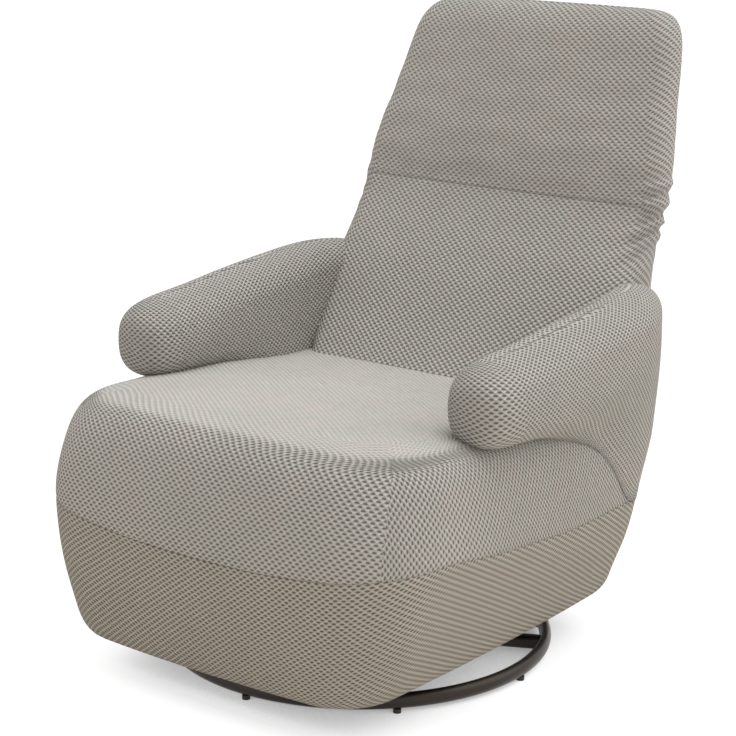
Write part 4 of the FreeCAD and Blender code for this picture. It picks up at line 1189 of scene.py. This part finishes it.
class ROCKER_OT_finishes(bpy.types.Operator):
    """Make the materials, and put them on the frame's own pieces"""

    bl_idname = "rocker.finishes"
    bl_label = "Finishes"

    def execute(self, context):
        knit = context.scene.rocker_knit
        knit_material("knit_cover", knit, tuple(knit.cover_colour), tuple(knit.pit_shade_colour))
        knit_material("lower_band_cover", knit, tuple(knit.band_colour), tuple(knit.pit_shade_colour))
        metals = {
            "dark_bronze_paint": ((0.036, 0.027, 0.021), 0.36, 0.55),
            "glide_plastic": ((0.022, 0.018, 0.015), 0.5, 0.0),
            "bearing_steel": ((0.46, 0.46, 0.47), 0.28, 1.0),
            "cage_brass": ((0.55, 0.38, 0.12), 0.34, 1.0),
            "bush_bronze": ((0.42, 0.26, 0.11), 0.46, 1.0),
            "zinc_steel": ((0.52, 0.53, 0.56), 0.32, 1.0),
            "black_steel": ((0.018, 0.018, 0.019), 0.45, 0.3),
            "spring_steel": ((0.14, 0.14, 0.15), 0.38, 1.0),
            "stop_rubber": ((0.016, 0.016, 0.016), 0.82, 0.0),
            "disc_plastic": ((0.66, 0.64, 0.58), 0.42, 0.0),
        }
        for name, finish in metals.items():
            metal_material(name, *finish)
        wood_material("frame_wood", (0.62, 0.44, 0.26), (0.42, 0.26, 0.13))
        cloth_material("dust_cloth", (0.022, 0.022, 0.024), 0.0012)
        cloth_material("webbing", (0.085, 0.07, 0.055), 0.0028)
        for part in frame["record"]["subparts"]:
            mesh = frame["nodes"][part["node"]].data
            mesh.materials.clear()
            mesh.materials.append(bpy.data.materials[part["material_slot"]])
        return {"FINISHED"}


def shown_rays(wire):
    """1 for rays that show the background: straight, mirrored or seen through glass."""
    camera, glossy, through = (wire.node("ShaderNodeLightPath", {}, {}, n) for n in (0, 3, 6))
    mirrored = glossy.math("MAXIMUM", glossy, through)
    return camera.math("MAXIMUM", camera, mirrored)


def make_floor():
    x = FLOOR_REACH
    mesh = bpy.data.meshes.new("floor")
    mesh.from_pydata([(-x, -x, 0), (x, -x, 0), (x, x, 0), (-x, x, 0)], [], [(0, 1, 2, 3)])
    wire = new_material("white_floor")
    direct = shown_rays(wire)
    shown = wire.plain(FLOOR_COLOUR).tint(FLOOR_SHOWN, direct)
    matt = wire.node("ShaderNodeBsdfDiffuse", {}, {"Color": shown})
    # Painted shadow: the glow dims where ambient occlusion finds the chair close, leaning to
    # SHADOW_LEAN
    lean = {"Distance": SHADOW_REACH, "Normal": SHADOW_LEAN}
    open_share = wire.node("ShaderNodeAmbientOcclusion", {"samples": 12}, lean, 1)
    closed = open_share * -SHADOW_GAIN + SHADOW_START
    closed = closed.math("MAXIMUM", closed, 0.0)
    strength = direct * (closed * closed * -1.0 + FLOOR_GLOW)
    glow = wire.node("ShaderNodeEmission", {}, {"Strength": strength})
    wire.node("ShaderNodeAddShader", {}, {0: matt, 1: glow}).finish()
    mesh.materials.append(bpy.data.materials["white_floor"])
    linked_object("floor", mesh)


def make_light(scene):
    studio = scene.rocker_studio
    world = bpy.data.worlds.new("studio")
    scene.world = world
    wire = empty_tree(world)
    seen = shown_rays(wire)
    strength = seen * (1.0 - studio.world_strength) + studio.world_strength
    room = wire.plain(ROOM_COLOUR).tint((1.0, 1.0, 1.0), seen)
    back = wire.node("ShaderNodeBackground", {}, {"Color": room, "Strength": strength})
    back.finish("ShaderNodeOutputWorld")
    for name, (direction, spread), strength in (
        ("overhead", OVERHEAD, studio.sun_strength),
        ("rear_side", REAR_SIDE, studio.side_strength),
    ):
        lamp = bpy.data.lights.new(name, "SUN")
        lamp.energy = strength
        lamp.angle = math.radians(spread)
        lamp.color = LAMP_COLOUR
        sun = linked_object(name, lamp)
        sun.rotation_mode = "QUATERNION"
        sun.rotation_quaternion = Vector(direction).to_track_quat("Z", "Y")


def make_camera(scene):
    studio = scene.rocker_studio
    lens = bpy.data.cameras.new("photograph")
    lens.sensor_fit = "HORIZONTAL"
    lens.lens = lens.sensor_width * studio.focal_pixels / studio.frame_pixels
    camera = linked_object("photograph", lens)
    angles = ((0, 0, studio.turn), (math.pi / 2 - studio.pitch, 0, 0), (0, 0, studio.roll))
    turn, pitch, roll = (Euler(angle).to_matrix() for angle in angles)
    x, y, z = CAMERA_PLACE
    camera.matrix_world = (turn @ pitch @ roll).to_4x4()
    camera.location = (x, y + AXIS_Y, z)
    scene.camera = camera


class ROCKER_OT_studio(bpy.types.Operator):
    """Make the floor, the light and the camera"""

    bl_idname = "rocker.studio"
    bl_label = "Studio"

    def execute(self, context):
        context.scene.view_settings.view_transform = "Standard"
        make_floor()
        make_light(context.scene)
        make_camera(context.scene)
        return {"FINISHED"}


class ROCKER_PT_panel(bpy.types.Panel):
    """The rocker's pieces and settings"""

    bl_label = "Swivel rocker"
    bl_space_type = "VIEW_3D"
    bl_region_type = "UI"
    bl_category = "Rocker"

    def draw(self, context):
        for group in (getattr(context.scene, name) for name, _ in GROUPS):
            box = self.layout.box()
            for name in group.bl_rna.properties.keys():
                if name not in ("rna_type", "name"):
                    box.prop(group, name)
        for operator in OPERATORS:
            self.layout.operator(operator.bl_idname)


OPERATORS = (
    ROCKER_OT_finishes,
    ROCKER_OT_seat_cover,
    ROCKER_OT_band_cover,
    ROCKER_OT_back_cover,
    ROCKER_OT_arm_covers,
    ROCKER_OT_rocker_springs,
    ROCKER_OT_studio,
)
GROUPS = (
    ("rocker_knit", KnitSettings),
    ("rocker_covers", CoverSettings),
    ("rocker_studio", StudioSettings),
)


def register():
    for name, group in GROUPS:
        bpy.utils.register_class(group)
        setattr(bpy.types.Scene, name, PointerProperty(type=group))
    for operator in OPERATORS:
        bpy.utils.register_class(operator)
    bpy.utils.register_class(ROCKER_PT_panel)


def unregister():
    bpy.utils.unregister_class(ROCKER_PT_panel)
    for operator in reversed(OPERATORS):
        bpy.utils.unregister_class(operator)
    for name, group in reversed(GROUPS):
        delattr(bpy.types.Scene, name)
        bpy.utils.unregister_class(group)


def main():
    register()
    bpy.ops.rocker.finishes()
    bpy.ops.rocker.seat_cover()
    bpy.ops.rocker.band_cover()
    bpy.ops.rocker.back_cover()
    bpy.ops.rocker.arm_covers()
    bpy.ops.rocker.rocker_springs()
    bpy.ops.rocker.studio()


if __name__ == "__main__":
    main()
